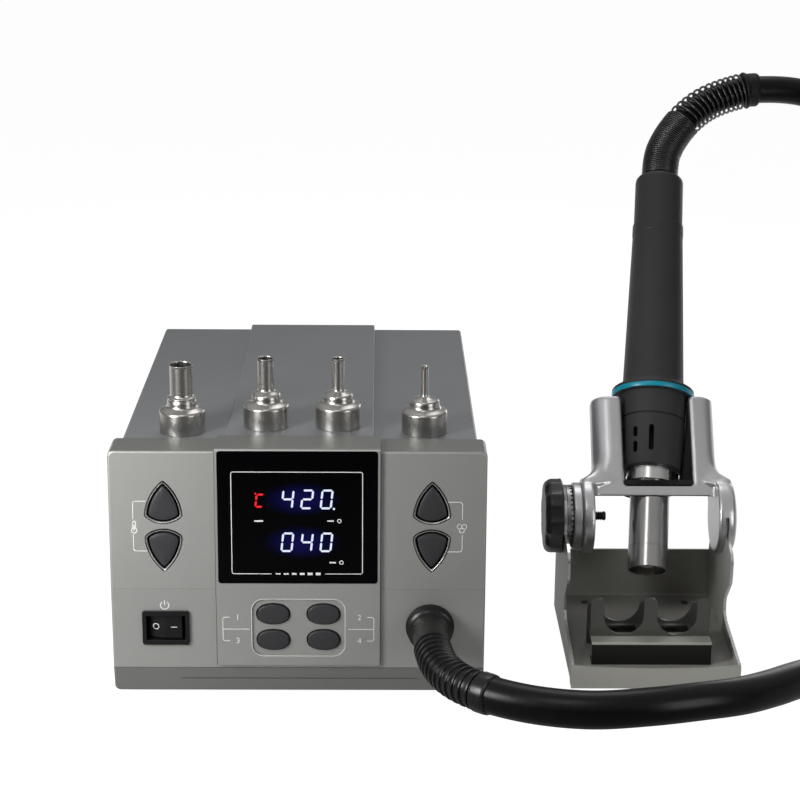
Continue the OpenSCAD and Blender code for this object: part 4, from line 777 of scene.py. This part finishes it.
def makeSwitch():
    w, h = switch["w"], switch["h"]
    rw, rh = switch["rocker"]
    place = shift(switch["x"], 0, switch["z"])
    rimPart = slab(w, h, 1.2, -1.6, 0)
    body = box((-w / 2 + 1.2, -0.9, -h / 2 + 1.2), (w / 2 - 1.2, 20, h / 2 - 1.2))
    well = box((-rw / 2 - 0.5, -4, -rh / 2 - 0.4), (rw / 2 + 0.5, 13, rh / 2 + 0.4))
    bm = carve(carve(rimPart, body, operation="UNION"), well)
    tabs = [box((x - 0.4, 19, -3.2), (x + 0.4, 27, 3.2)) for x in (-6, 0, 6)]
    makePiece("switchHousing", join(bm, *tabs), "blackPlastic", "black_plastic", "switch_housing", place=place,
              bevel=0.2)
    side = ((-rw / 2 + 0.4, -3.8, 0.6), (0, -5.2, 6), (rw / 2 - 0.4, -3.8, 0.6), (rw / 2 - 1.2, 2.2, 1), (3, 4.6, 1),
            (-3, 4.6, 1), (-rw / 2 + 1.2, 2.2, 1))
    place = shift(switch["x"], switch["pivot"], switch["z"]) @ spun(-switch["tilt"], "Z")
    makePiece("powerRocker", plate(side, "XY", -rh / 2, rh / 2), "blackPlastic", "black_plastic",
              "power_rocker", place=place, body="rocker", bevel=0.45, steps=3)
    marks = []
    for x, points in ((-4.6, ringPoints(0, 0, 1.5)), (4.6, ((-1.6, 0), (1.6, 0)))):
        y = -5.2 + abs(x) * switch["slope"] - 0.03
        tip = Matrix.Rotation(math.copysign(math.atan(switch["slope"]), x), 4, "Z")
        marks.append(flatLine(points, 0.42, 0, place @ shift(x, y, 0) @ tip))
    makePiece("rockerMarks", join(*marks), "ink", "black_plastic", body="rocker")


# Console: cover with its raised strip, gland and nozzles
cover = {"half": 90.4, "low": 9.5, "top": 129.7, "front": 12, "back": 249, "sheet": 1.2, "fold": 2,
         "strip": (37.5, 132.7, 24.3)}


def makeCover():
    a, z, t, r = cover["half"], cover["top"], cover["sheet"], cover["fold"]
    shell = plate(((-a, cover["low"]), (-a, z, r), (a, z, r), (a, cover["low"]), (a - t, cover["low"]),
                   (a - t, z - t, r - t), (t - a, z - t, r - t), (t - a, cover["low"])), "XZ", cover["front"],
                  cover["back"], steps=8)
    half, top, front = cover["strip"]
    strip = plate(((-half, z - 0.6), (-half, top, 0.9), (half, top, 0.9), (half, z - 0.6)), "XZ", front, cover["back"])
    makePiece("topCover", join(shell, strip), "coverPaint", "cover_paint", "top_cover", bevel=0.3)


def makeGland():
    profile = rounded(((0, -13), (9, -13), (9, 0), (12.25, 0), (12.25, 1.2), (11.3, 2.4), (11.0, 5), (0, 5)), 0.5)
    makePiece("hoseGland", lathe(profile, 64), "footRubber", "black_plastic", "hose_gland",
              place=shift(66.3, 0, 41.3) @ spun(90, "X"), angle=40)


nozzles = {"y": 47, "r": 11.7, "bore": 10.9, "body": 10.8,
           "list": ((-60.7, 129.7, 11.8, 35.5), (-17.6, 132.7, 8.6, 36), (19.3, 132.7, 6.4, 36),
                    (63.6, 129.7, 3.6, 35))}


def makeNozzles():
    for number, (x, z, tip, h) in enumerate(nozzles["list"], 1):
        r, bore, b, t = nozzles["r"], nozzles["bore"], nozzles["body"], tip / 2
        outer = ((bore, 0), (r - 0.1, 0), (r, 0.3), (r, b), (r - 0.5, b + 0.9), (9.6, b + 1.6), (8.3, b + 2.2),
                 (7.75, b + 3.2), (7.6, b + 5.4), (7.1, b + 6.6), (t + 1.4, b + 7.4), (t + 0.25, b + 8.1), (t, b + 9),
                 (t, h - 0.9), (t + 0.4, h - 0.15), (t + 0.3, h), (t - 0.3, h), (t - 0.5, h - 0.8))
        inner = ((t - 0.5, b + 8.4), (6.4, b + 6.4), (7, b + 1.4), (bore, b - 0.2), (bore, 0))
        makePiece(f"nozzle{number}", lathe(rounded(outer, 0.55) + list(inner)), "spunSteel", "stainless",
                  f"nozzle_{number}", place=shift(x, nozzles["y"], z), body=f"nozzle_{number}", angle=50)


makeBezel()
makeShieldButtons()
makeFascia()
makeMarks()
makeSwitch()
makeCover()
makeGland()
makeNozzles()
print("console done")


# Stand: folded bracket, nozzle rack, yoke, clamp and pad
stand = {"x": 140.4, "right": 228.3, "front": 15, "back": 120, "sheet": 1.5, "floor": 8, "lip": 13, "wall": 37,
         "foot": 2.4, "side": ((15, 0.1), (15, 13, 2.5), (60.5, 18.8, 3), (66, 22, 3), (66, 29.5, 7), (52, 44, 6),
                               (52, 58.5, 6), (62, 62.3, 5), (77, 62.3), pivot, (108.07, 72.55), (120, 38, 3),
                               (120, 2.4), (24, 2.4), (22, 0.1))}
rack = {"x": 182.7, "half": 31.2, "notch": 20.85, "pitch": 13.85, "low": 22.5, "shelf": 20.6, "sheet": 1.2,
        "front": 24, "comb": 33, "rear": 51, "tops": (43, 33.5), "tine": 3.25}


def makeBracket():
    a, b, t, low, high = (stand[k] for k in ("front", "back", "sheet", "foot", "wall"))
    z, left, right = stand["floor"], stand["x"], stand["right"]
    fold = plate(((a, 0.1), (a, stand["lip"]), (a + t, stand["lip"]), (a + t, z + t, 1), (b - t, z + t, 1),
                  (b - t, high), (b, high), (b, low), (b - t, low), (b - t, z), (a + t, z), (a + t, 0.1)), "YZ",
                 left + 0.1, right - 0.1)
    dish = bar(592, a - 2, a + 6, "Y", 720, (left + 43.95, stand["lip"] + 590.4))  # the lip dips in the middle
    fold = carve(fold, dish)
    sides = []
    for x in (left, right - t):
        lug = bar(17, x, x + t, "X", across=pivot)
        sides.append(carve(plate(stand["side"], "YZ", x, x + t, 8), lug, operation="UNION"))
    # the lip is painted lighter as a highlight, the inside of the tray darker as shade, and the cut edges of the side
    # plates brighter as a highlight
    makePiece("standBracket", carve(fold, *sides, operation="UNION"), "standPaint", "stand_paint", "stand_bracket",
              bevel=0.35, angle=50, inside=[("lipPaint", (left - 1, a - 1, -1), (right + 1, a + 0.5, 14)),
                                            ("shadedPaint", (left + 1, a + 1, z + 0.5), (right - 1, b - 1, 70)),
                                            ("rimPaint", (left - 1, 0, 14), (left + 1.4, 100, 80), 0),
                                            ("rimPaint", (right - 1.4, 0, 14), (right + 1, 100, 80), 0)])


def makeRack():
    x, half, t = rack["x"], rack["half"], rack["sheet"]
    a, b, shelf = rack["front"], rack["rear"], rack["shelf"]
    middles = x - rack["pitch"], x + rack["pitch"]  # of the notches
    base = plate(((a, 9.5), (a, shelf + t, 1.1), (b + t, shelf + t, 1.1), (b + t, 9.5), (b, 9.5), (b, shelf, 0.3),
                  (a + t, shelf, 0.3), (a + t, 10.7, 0.3), (a + 9, 10.7), (a + 9, 9.5)), "YZ", x - half, x + half)
    combs = []
    for y, top in zip((rack["comb"], rack["rear"]), rack["tops"]):
        w, r = rack["notch"] / 2, rack["tine"]
        line = [(x - half, shelf + 0.2), (x - half, top, r)]
        for middle in middles:
            line += [(middle - w, top, r), (middle - w, rack["low"], w - 0.1), (middle + w, rack["low"], w - 0.1),
                     (middle + w, top, r)]
        line += [(x + half, top, r), (x + half, shelf + 0.2)]
        combs.append(plate(line, "XZ", y + (0.002 if y == b else 0), y + t - 0.002, 8))
    slots = join(*(box((middle - 8, 38, 19), (middle + 8, 47, 24)) for middle in middles))
    holes = join(*(bar(1.6, 8, 12, across=(x + side, a + 5.5), steps=24) for side in (-22, 22)))
    bm = carve(carve(base, slots, holes), *combs, operation="UNION")
    # the front leg is painted near black as shade, and the band along the shelf's front edge lighter as a highlight
    makePiece("nozzleRack", bm, "rackPaint", "stand_paint", "nozzle_rack", bevel=0.3, angle=50,
              inside=[("shadePaint", (x - 40, a - 1, 0), (x + 40, a + 0.4, shelf - 0.4)),
                      ("standPaint", (x - 40, a - 1, shelf - 0.4), (x + 40, rack["comb"] - 0.1, shelf + 3))])


# Yoke in the leaning frame: z runs along the handle's axis, x along the pivot
yoke = {"left": (157.8, 172.6), "right": (213.3, 225.3), "lip": (1.5, 2.3), "deep": 12, "top": 65.8,
        "bar": 7.7, "pad": 14, "cheek": 20.5, "cheekX": (150.6, 156.8), "leafX": (223.3, 233.3),
        "slot": (226.5, 228.6), "seat": 189.07, "voxel": 0.75}


def makeYoke():
    d, top = yoke["deep"], yoke["top"]
    parts = []
    for side, (outer, inner), lip in ((-1, yoke["left"], yoke["lip"][0]), (1, yoke["right"][::-1], yoke["lip"][1])):
        cheek = yoke["cheekX"][0] if side < 0 else yoke["leafX"][1] - 1.2
        rings = []
        for z, grow, big in ((top, -1.1, 9.5), (top - 0.4, -0.35, 9.5), (top - 1.2, 0, 9.5), (48, 0, 9.5), (32, 0, 9.5),
                             (27, 0, 8.4), (23, 0, 6.6), (19.5, 0, 4.6), (17, 0, 3), (14.4, 0, 1.8), (14, 0, 1.7),
                             (9, 0, 1.6)):
            x, back = outer + side * grow, inner - side * grow
            corner = ((big + grow, 1.6 + grow, 1.6 + grow, big + grow) if side < 0 else
                      (1.6 + grow, big + grow, big + grow, 1.6 + grow))
            ring = []
            for px, py, pz in ringAround(min(x, back), max(x, back), -d - grow, d + grow, z, corner):
                near = max(0, min(1, 1 - abs(px - back) / 6)) * max(0, min(1, (-py - 7) / 3.5)) * (z > 13.9)
                ring.append((px - side * lip * near, py, pz))
            rings.append(ring)
        parts.append(stack(rings))
        rings = []  # the funnel that spreads from the arm's foot to the cheek
        edge = yoke["cheekX"][1] if side < 0 else yoke["leafX"][0]
        for z, out, grow in ((29, 0, 0), (27, 0.02, 0), (25.2, 0.07, 0.1), (23.6, 0.16, 0.3), (22, 0.3, 0.4),
                             (20.6, 0.48, 0.7), (19.4, 0.68, 1.0), (18.2, 0.88, 1.4), (17, 1, 1.9), (13, 1, 3.2),
                             (8, 1, 4.4)):
            x, back = outer + (cheek - outer) * out, (inner + side * 0.3 if z > 14 else outer - side * 1.5)
            big = 9.5 - 0.5 * max(0, 29 - z) if z > 17 else 3.5
            ring = ringAround(min(x, back), max(x, back), -d - grow, d + grow, z,
                              (big, 1.4, 1.4, big) if side < 0 else (1.4, big, big, 1.4))
            spread = []
            for px, py, pz in ring:  # it deepens only towards the cheek
                near = max(0, min(1, (px - edge) * side / (8 if z > 14 else 3) + 0.8))
                spread.append((px, py * (d - 0.3 + (grow + 0.3) * near) / (d + grow), pz))
            rings.append(spread)
        parts.append(stack(rings))
    r = yoke["cheek"]
    x0, x1 = yoke["cheekX"]
    cheek = rounded(((0, x0), (r - 0.5, x0), (r, x0 + 0.5), (r, x1 - 0.6), (r - 0.6, x1), (0, x1)), 0.6)
    x0, x1 = yoke["leafX"]
    leaf = ((0, x0), (r - 0.8, x0), (r, x0 + 0.8), (r, x1 - 3.4), (r - 0.35, x1 - 2.2), (r - 1.3, x1 - 1.1),
            (r - 2.8, x1 - 0.4), (r - 5, x1), (0, x1))
    parts += [moved(lathe(disc), spun(90, "Y")) for disc in (cheek, leaf)]
    parts.append(plate(((-d, yoke["bar"]), (-d, yoke["pad"]), (3, yoke["pad"]), (3, yoke["pad"] - 2)), "YZ",
                       yoke["cheekX"][1] - 1, yoke["leafX"][0] + 1))
    x = yoke["leafX"][0]  # a web under the right end of the crossbar
    web = ((x + 0.8, yoke["bar"] + 1), (x + 0.8, 4.2), (x - 0.8, 5.6), (x - 2.2, yoke["bar"] - 0.7),
           (x - 4, yoke["bar"]), (x - 4, yoke["bar"] + 1))
    parts.append(plate(web, "XZ", -d, 1.5))
    bm = fused(parts, yoke["voxel"], 6)
    room = plate(((-20, -22), (-20, 5), (-d, yoke["bar"] - 0.15), (3, yoke["pad"] - 1.5), (20, yoke["pad"] + 3.4),
                  (20, -22)), "YZ", yoke["cheekX"][1] + 0.1, yoke["leafX"][0] - 0.1)
    bm = carve(bm, room)
    # room for the tube, open to the rear, and the slot that takes the right side plate
    notch = bar(11.75, -2, 40, across=(yoke["seat"], 0))
    back = box((yoke["seat"] - 11.75, 0, -2), (yoke["seat"] + 11.75, 30, 40))
    slot = bar(18.5, *yoke["slot"], "X")
    lower = moved(plate(((0, 0), (-30, 9.5), (-30, -30), (34, -30), (34.1, -4.6), (10.1, 13.4)), "YZ",
                        yoke["slot"][0] + 0.001, yoke["slot"][1] - 0.001), spun(37, "X"))
    bm = carve(bm, carve(notch, back, operation="UNION"), carve(slot, lower, operation="UNION"))
    makePiece("yoke", bm, "castAluminium", "cast_aluminium", "yoke", place=axisPlace, body="yoke", angle=42)

    pad = plate(((174.3, -12.5, 1), (210.9, -12.5, 1), (210.9, -7), (213, -5), (213, 3, 1), (172.9, 3, 1),
                 (172.9, -5), (174.3, -7)), "XY", 14, 16.7)
    cup = ((16.1, 14.2), (16.1, 22.9), (15.7, 23.3), (13.9, 23.3), (13.55, 22.9), (13.55, 16.7), (11.45, 16.7),
           (11.45, 14.2))
    cup = moved(lathe(cup, closed=True), shift(yoke["seat"], 0, 0))
    front = box((160, -40, 0), (220, -3, 40))
    hole = bar(11.45, 13, 16.72, across=(yoke["seat"], 0))
    upper = bar(13.5, 16.69, 30, across=(yoke["seat"], 0))
    bm = carve(carve(pad, carve(cup, front), operation="UNION"), hole, upper)
    # dark rubber strips up the inner faces of both arms, thin on the left and 8 mm thick on the right, filling the gap
    # beside the tube
    liners = [plate(points, "XZ", -8, 8) for points in (((205.6, 15), (213.9, 15), (213.9, 65.2), (212.3, 65.2)),
                                                        ((172.2, 15), (172.95, 15), (172.95, 65.2), (172.2, 65.2)))]
    bm = carve(bm, join(*liners), operation="UNION")
    makePiece("seatPad", bm, "footRubber", "foot_rubber", "seat_pad", place=axisPlace, body="yoke", bevel=0.3,
              angle=45)


# Clamp on the left, with a knob of eight lobes that is hollowed between them above its foot
clamp = {"teeth": 36, "lobes": 8, "radius": 20.5, "hollow": 12, "hollowAt": 31.1, "foot": 2.3,
         "profile": ((0, -1.2), (0.25, -0.5), (0.9, 0), (6.2, 0), (7.4, -0.35), (8.4, -1.0), (9.2, -2.0), (9.7, -3.4),
                     (9.8, -5))}


def makeClamp():
    half = math.pi / clamp["lobes"]
    turn = axisPlace @ spun(90, "Y")  # lathe heights become places along x
    disc = rounded(((2.75, 145.4), (17.4, 145.4), (18.2, 146.2), (18.2, 149.8), (17.7, 150.6), (2.75, 150.6)), 0.5)
    makePiece("lockDisc", lathe(disc + disc[:1]), "castAluminium", "cast_aluminium", "lock_disc", place=turn,
              body="yoke", angle=42)
    turn = shift(0, *pivot) @ spun(90, "Y")
    disc = rounded(((2.75, 141.9), (16.7, 141.9), (17, 142.2), (17, 144.8), (16.7, 145.1), (2.75, 145.1)), 0.2)
    cuts = bmesh.new()
    for k in range(clamp["teeth"]):
        spot = Matrix.Rotation(math.tau * k / clamp["teeth"], 4, "Z") @ shift(17, 0, 144.6)
        bmesh.ops.create_cube(cuts, size=1, matrix=spot @ Matrix.Diagonal((3.2, 1.4, 1.5, 1)))
    makePiece("serratedWasher", carve(lathe(disc + disc[:1], 108), cuts), "screwSteel", "screw_steel",
              "serrated_washer", place=turn, angle=30)
    rings = []
    for z, grow in clamp["profile"]:
        line = []
        for k in range(192):
            a, r = math.tau * k / 192, clamp["radius"]
            off = half - abs((a - half) % (2 * half) - half)  # from the middle of the nearest hollow
            across = clamp["hollowAt"] * math.sin(off)
            if across < clamp["hollow"] and z > clamp["foot"]:
                r = min(r, clamp["hollowAt"] * math.cos(off) - math.sqrt(clamp["hollow"] ** 2 - across ** 2))
            line.append(((r + grow) * math.cos(a), (r + grow) * math.sin(a), z))
        rings.append(line)
    makePiece("clampKnob", stack(rings), "knobPlastic", "black_plastic", "clamp_knob",
              place=shift(140.1, *pivot) @ spun(-90, "Y"), body="knob", angle=35)
    line, x = [(0, 133.8), (2.1, 133.8), (2.5, 134.2), (2.5, 156.9)], 157.2
    while x < 162.6:  # thread of the free end
        line += [(2.5, x + 0.1), (1.9, x + 0.5), (1.9, x + 0.6), (2.5, x + 1.0)]
        x += 1.1
    line += [(2.5, 163.6), (2.0, 164.2), (0, 164.2)]
    makePiece("clampScrew", lathe(line, 48), "blackSteel", "screw_steel", "clamp_screw", place=turn, body="knob",
              angle=35)


# Handle, turned round its own axis
handle = {"sleeve": (25.1, 16.85, 19.0), "ring": (67.8, 70.4), "grip": (17, 14.5), "capZ": 166.8, "cap": (13.9, 13.7)}


def makeHandle():
    low, r0, r1 = handle["sleeve"]

    def add(name, bm, material, slot, stands, **more):  # a piece of the handle
        makePiece(name, bm, material, slot, stands, handlePlace, "handle", **more)

    def wall(z):
        return r0 + (r1 - r0) * (z - low) / (handle["ring"][1] - low)

    outer = [(wall(low) - 0.9, low), (wall(low) - 0.3, low + 0.22), (wall(low + 0.8), low + 0.8),
             (wall(low + 12), low + 12), (wall(low + 28.3), low + 28.3), (wall(low + 28.4) - 0.15, low + 28.5),
             (wall(low + 28.5) - 1.1, low + 28.6), (wall(low + 29.3) - 1.1, low + 29.3),
             (wall(low + 29.4) - 0.15, low + 29.4), (wall(low + 29.6), low + 29.6), (wall(66), 66),
             (wall(67.55), 67.55), (22.1, 67.6), (22.1, 67.78), (19, 67.78), (19, 70.3)]
    inner = [(14, 70.3), (14, low + 8.1), (12.55, low + 8.1), (12.55, low)]
    sleeve = lathe(outer + inner, 120, closed=True)
    slots = []
    for k in (0, *range(3, 12)):
        turn = spun(30 * k - 97, "Z") @ spun(90, "Z")
        for a, b in ((7.2, 21.9),) if k % 2 == 0 else ((6.4, 12.8), (15.2, 21.1)):
            slots.append(moved(slab(2.7, b - a, 1.33, -26, -13.4), turn @ shift(0, 0, low + (a + b) / 2)))
    add("noseSleeve", carve(sleeve, join(*slots)), "gripPlastic", "grip_plastic", "nose_sleeve", angle=34)
    collar = ((10.8, 17.6), (12.7, 17.6), (13, 17.9), (13, 24.9), (12.5, 25.2), (12.5, 33.1), (10.8, 33.1))
    add("metalCollar", lathe(collar, closed=True), "brightSteel", "stainless", "metal_collar", angle=30)
    tube = ((10.45, -31.2), (10.75, -30.9), (10.75, -19.35), (10.55, -19.2), (10.55, -18.7), (10.75, -18.55),
            (10.75, 34), (10.75, 55.1), (9.95, 55.1), (9.95, 34), (9.95, -30.9), (10.15, -31.2))
    # the tube inside the sleeve is painted black as shade, so the slots look dark
    add("heaterTube", lathe(tube, closed=True), "stainless", "stainless", "heater_tube", angle=30,
        inside=[("footRubber", (-20, -20, 34), (20, 20, 60))])
    a, b = handle["ring"]
    ring = ((19.05, a), (22.3, a), (22.6, a + 0.25), (22.95, b - 0.5), (22.85, b - 0.12), (22.5, b), (19.05, b))
    add("tealRing", lathe(ring, 120, closed=True), "teal", "teal", "teal_ring", angle=40)
    top, (r0, r1) = handle["capZ"], handle["grip"]
    flange = [(22.4, b), (22.8, b + 0.35), (22.8, b + 1.2), (22.45, b + 1.7), (20.9, b + 2.2), (19.2, b + 2.8),
              (18.1, b + 3.6), (17.4, b + 4.8), (17.05, b + 6.6)]
    line = flange + [(r0 - 0.15 + (r1 - r0) * t, b + 8.6 + (top - b - 8.6) * t) for t in (0, 0.25, 0.5, 0.75, 1)]
    inner = [(11.9, top), (11.9, b + 4.2), (14, b + 3.9), (14, b)]
    add("grip", lathe(line + inner, 120, closed=True), "gripPlastic", "grip_plastic", "grip", angle=30)
    (r, r2), end = handle["cap"], hose["capTop"]
    cap = [(11.8, top - 7.8), (11.8, top), (14.3, top), (14.5, top + 0.3), (14.55, top + 0.7), (14.5, top + 6.3),
           (14.4, top + 6.8), (14.0, top + 7.1), (r + 0.02, top + 7.4), (r, top + 9), (r2 + 0.1, top + 20),
           (r2 + 0.05, end - 3.4), (r2 - 0.25, end - 1.7), (r2 - 1.1, end - 0.5), (r2 - 2.3, end), (8.1, end),
           (8.1, top - 7.8)]
    add("gripCap", lathe(cap, 120, closed=True), "gripPlastic", "grip_plastic", "grip_cap", angle=34)


makeBracket()
makeRack()
makeYoke()
makeClamp()
makeHandle()
print("stand and handle done")

# The other CAD nodes keep their shape and get their finish here
finishes = {"blackPlastic": ("display_module", "mains_inlet", "blower_housing", "blower_impeller", "air_duct"),
            "screwSteel": ("cover_screws", "blower_motor", "heat_sink", "rack_screws", "pivot_pin"),
            "board": ("front_board", "main_board"), "darkPaint": ("base_tray", "rear_panel"),
            "footRubber": ("console_feet", "stand_feet"), "copper": ("transformer",),
            "rawSteel": ("ballast_plate",), "ceramic": ("heater_core",)}
for finish, names in finishes.items():
    for name in names:
        for place in frame["nodes"][name].material_slots:
            place.material = materials[finish]


# Stage: a pale floor and five soft lamps. Camera and transmission rays see a white world, and glossy rays a soft
# studio, darker in front and brighter above and behind
stage = {"floor": "#909090", "glow": 0.965, "world": 0.06, "front": 0.05, "behind": 0.14, "above": 0.42,
         "lamps": (("key", (-0.36, -0.37, 0.25), (0.16, 0.2), 1.9, (-0.05, -0.1, 0.08)),
                   ("fill", (0.55, -0.60, 0.22), (0.3, 0.4), 1.2, (0.14, -0.03, 0.08)),
                   ("front", (-0.14, -0.50, 0.70), (0.14, 0.3), 0.45, (0.12, -0.03, 0.1)),
                   ("top", (0.10, 0.45, 0.85), (0.4, 0.4), 1.0, (-0.03, 0.05, 0.1)),
                   ("back", (0.55, 0.85, 0.30), (0.4, 0.4), 1.0, (0.0, 0.1, 0.1)))}


def emptied(owner):  # its node tree, and what tells glossy rays, and camera and transmission rays, from others
    owner.use_nodes = True
    tree = owner.node_tree
    tree.nodes.clear()
    light = node(tree, "ShaderNodeLightPath").outputs
    through = node(tree, "ShaderNodeMath", {0: light["Is Camera Ray"], 1: light["Is Transmission Ray"]},
                   operation="MAXIMUM")
    return tree, light["Is Glossy Ray"], through.outputs[0]


def makeStage():
    bm = bmesh.new()
    bmesh.ops.create_grid(bm, x_segments=1, y_segments=1, size=14)
    floor = holder(bm, "floor")
    material = bpy.data.materials.new("floor")
    tree, glossy, through = emptied(material)
    spot = node(tree, "ShaderNodeSeparateXYZ", {0: node(tree, "ShaderNodeTexCoord").outputs["Object"]})
    behind = node(tree, "ShaderNodeMapRange", {0: spot.outputs["Y"], 1: -0.3, 2: 0.4, 3: 0, 4: 1})
    shiny = node(tree, "ShaderNodeMath", {0: glossy, 1: behind.outputs[0]}, operation="MULTIPLY")
    seen = node(tree, "ShaderNodeMath", {0: through, 1: shiny.outputs[0]}, operation="MAXIMUM")
    glow = node(tree, "ShaderNodeMath", {0: seen.outputs[0], 1: stage["glow"]}, operation="MULTIPLY")
    diffuse = node(tree, "ShaderNodeBsdfDiffuse", {"Color": colour(stage["floor"])})
    lit = node(tree, "ShaderNodeEmission", {"Color": (1, 1, 1, 1), "Strength": glow.outputs[0]})
    both = node(tree, "ShaderNodeAddShader", {0: diffuse.outputs[0], 1: lit.outputs[0]})
    node(tree, "ShaderNodeOutputMaterial", {0: both.outputs[0]})
    floor.data.materials.append(material)
    context.scene.world = bpy.data.worlds.new("studio")
    tree, glossy, through = emptied(context.scene.world)
    way = node(tree, "ShaderNodeSeparateXYZ", {0: node(tree, "ShaderNodeTexCoord").outputs["Generated"]})
    behind = node(tree, "ShaderNodeMapRange", {0: way.outputs["Y"], 1: -0.35, 2: 0.3, 3: 0, 4: stage["behind"]})
    above = node(tree, "ShaderNodeMapRange", {0: way.outputs["Z"], 1: 0.2, 2: 0.75, 3: stage["front"],
                                              4: stage["above"]})
    shine = node(tree, "ShaderNodeMath", {0: behind.outputs[0], 1: above.outputs[0]}, operation="ADD")
    around = node(tree, "ShaderNodeMix", {0: glossy, 2: stage["world"], 3: shine.outputs[0]})
    strength = node(tree, "ShaderNodeMix", {0: through, 2: around.outputs[0], 3: 1.0})
    white = node(tree, "ShaderNodeBackground", {"Color": (1, 1, 1, 1), "Strength": strength.outputs[0]})
    node(tree, "ShaderNodeOutputWorld", {0: white.outputs[0]})
    for name, place, size, power, aim in stage["lamps"]:
        data = bpy.data.lights.new(name, "AREA")
        data.shape, data.size, data.size_y, data.energy = "RECTANGLE", size[0], size[1], power
        turn = (Vector(aim) - Vector(place)).to_track_quat("-Z", "Y").to_matrix().to_4x4()
        linked(name, data).matrix_world = shift(*place) @ turn
    context.scene.view_settings.view_transform = "Standard"


makeStage()
print("stage done")
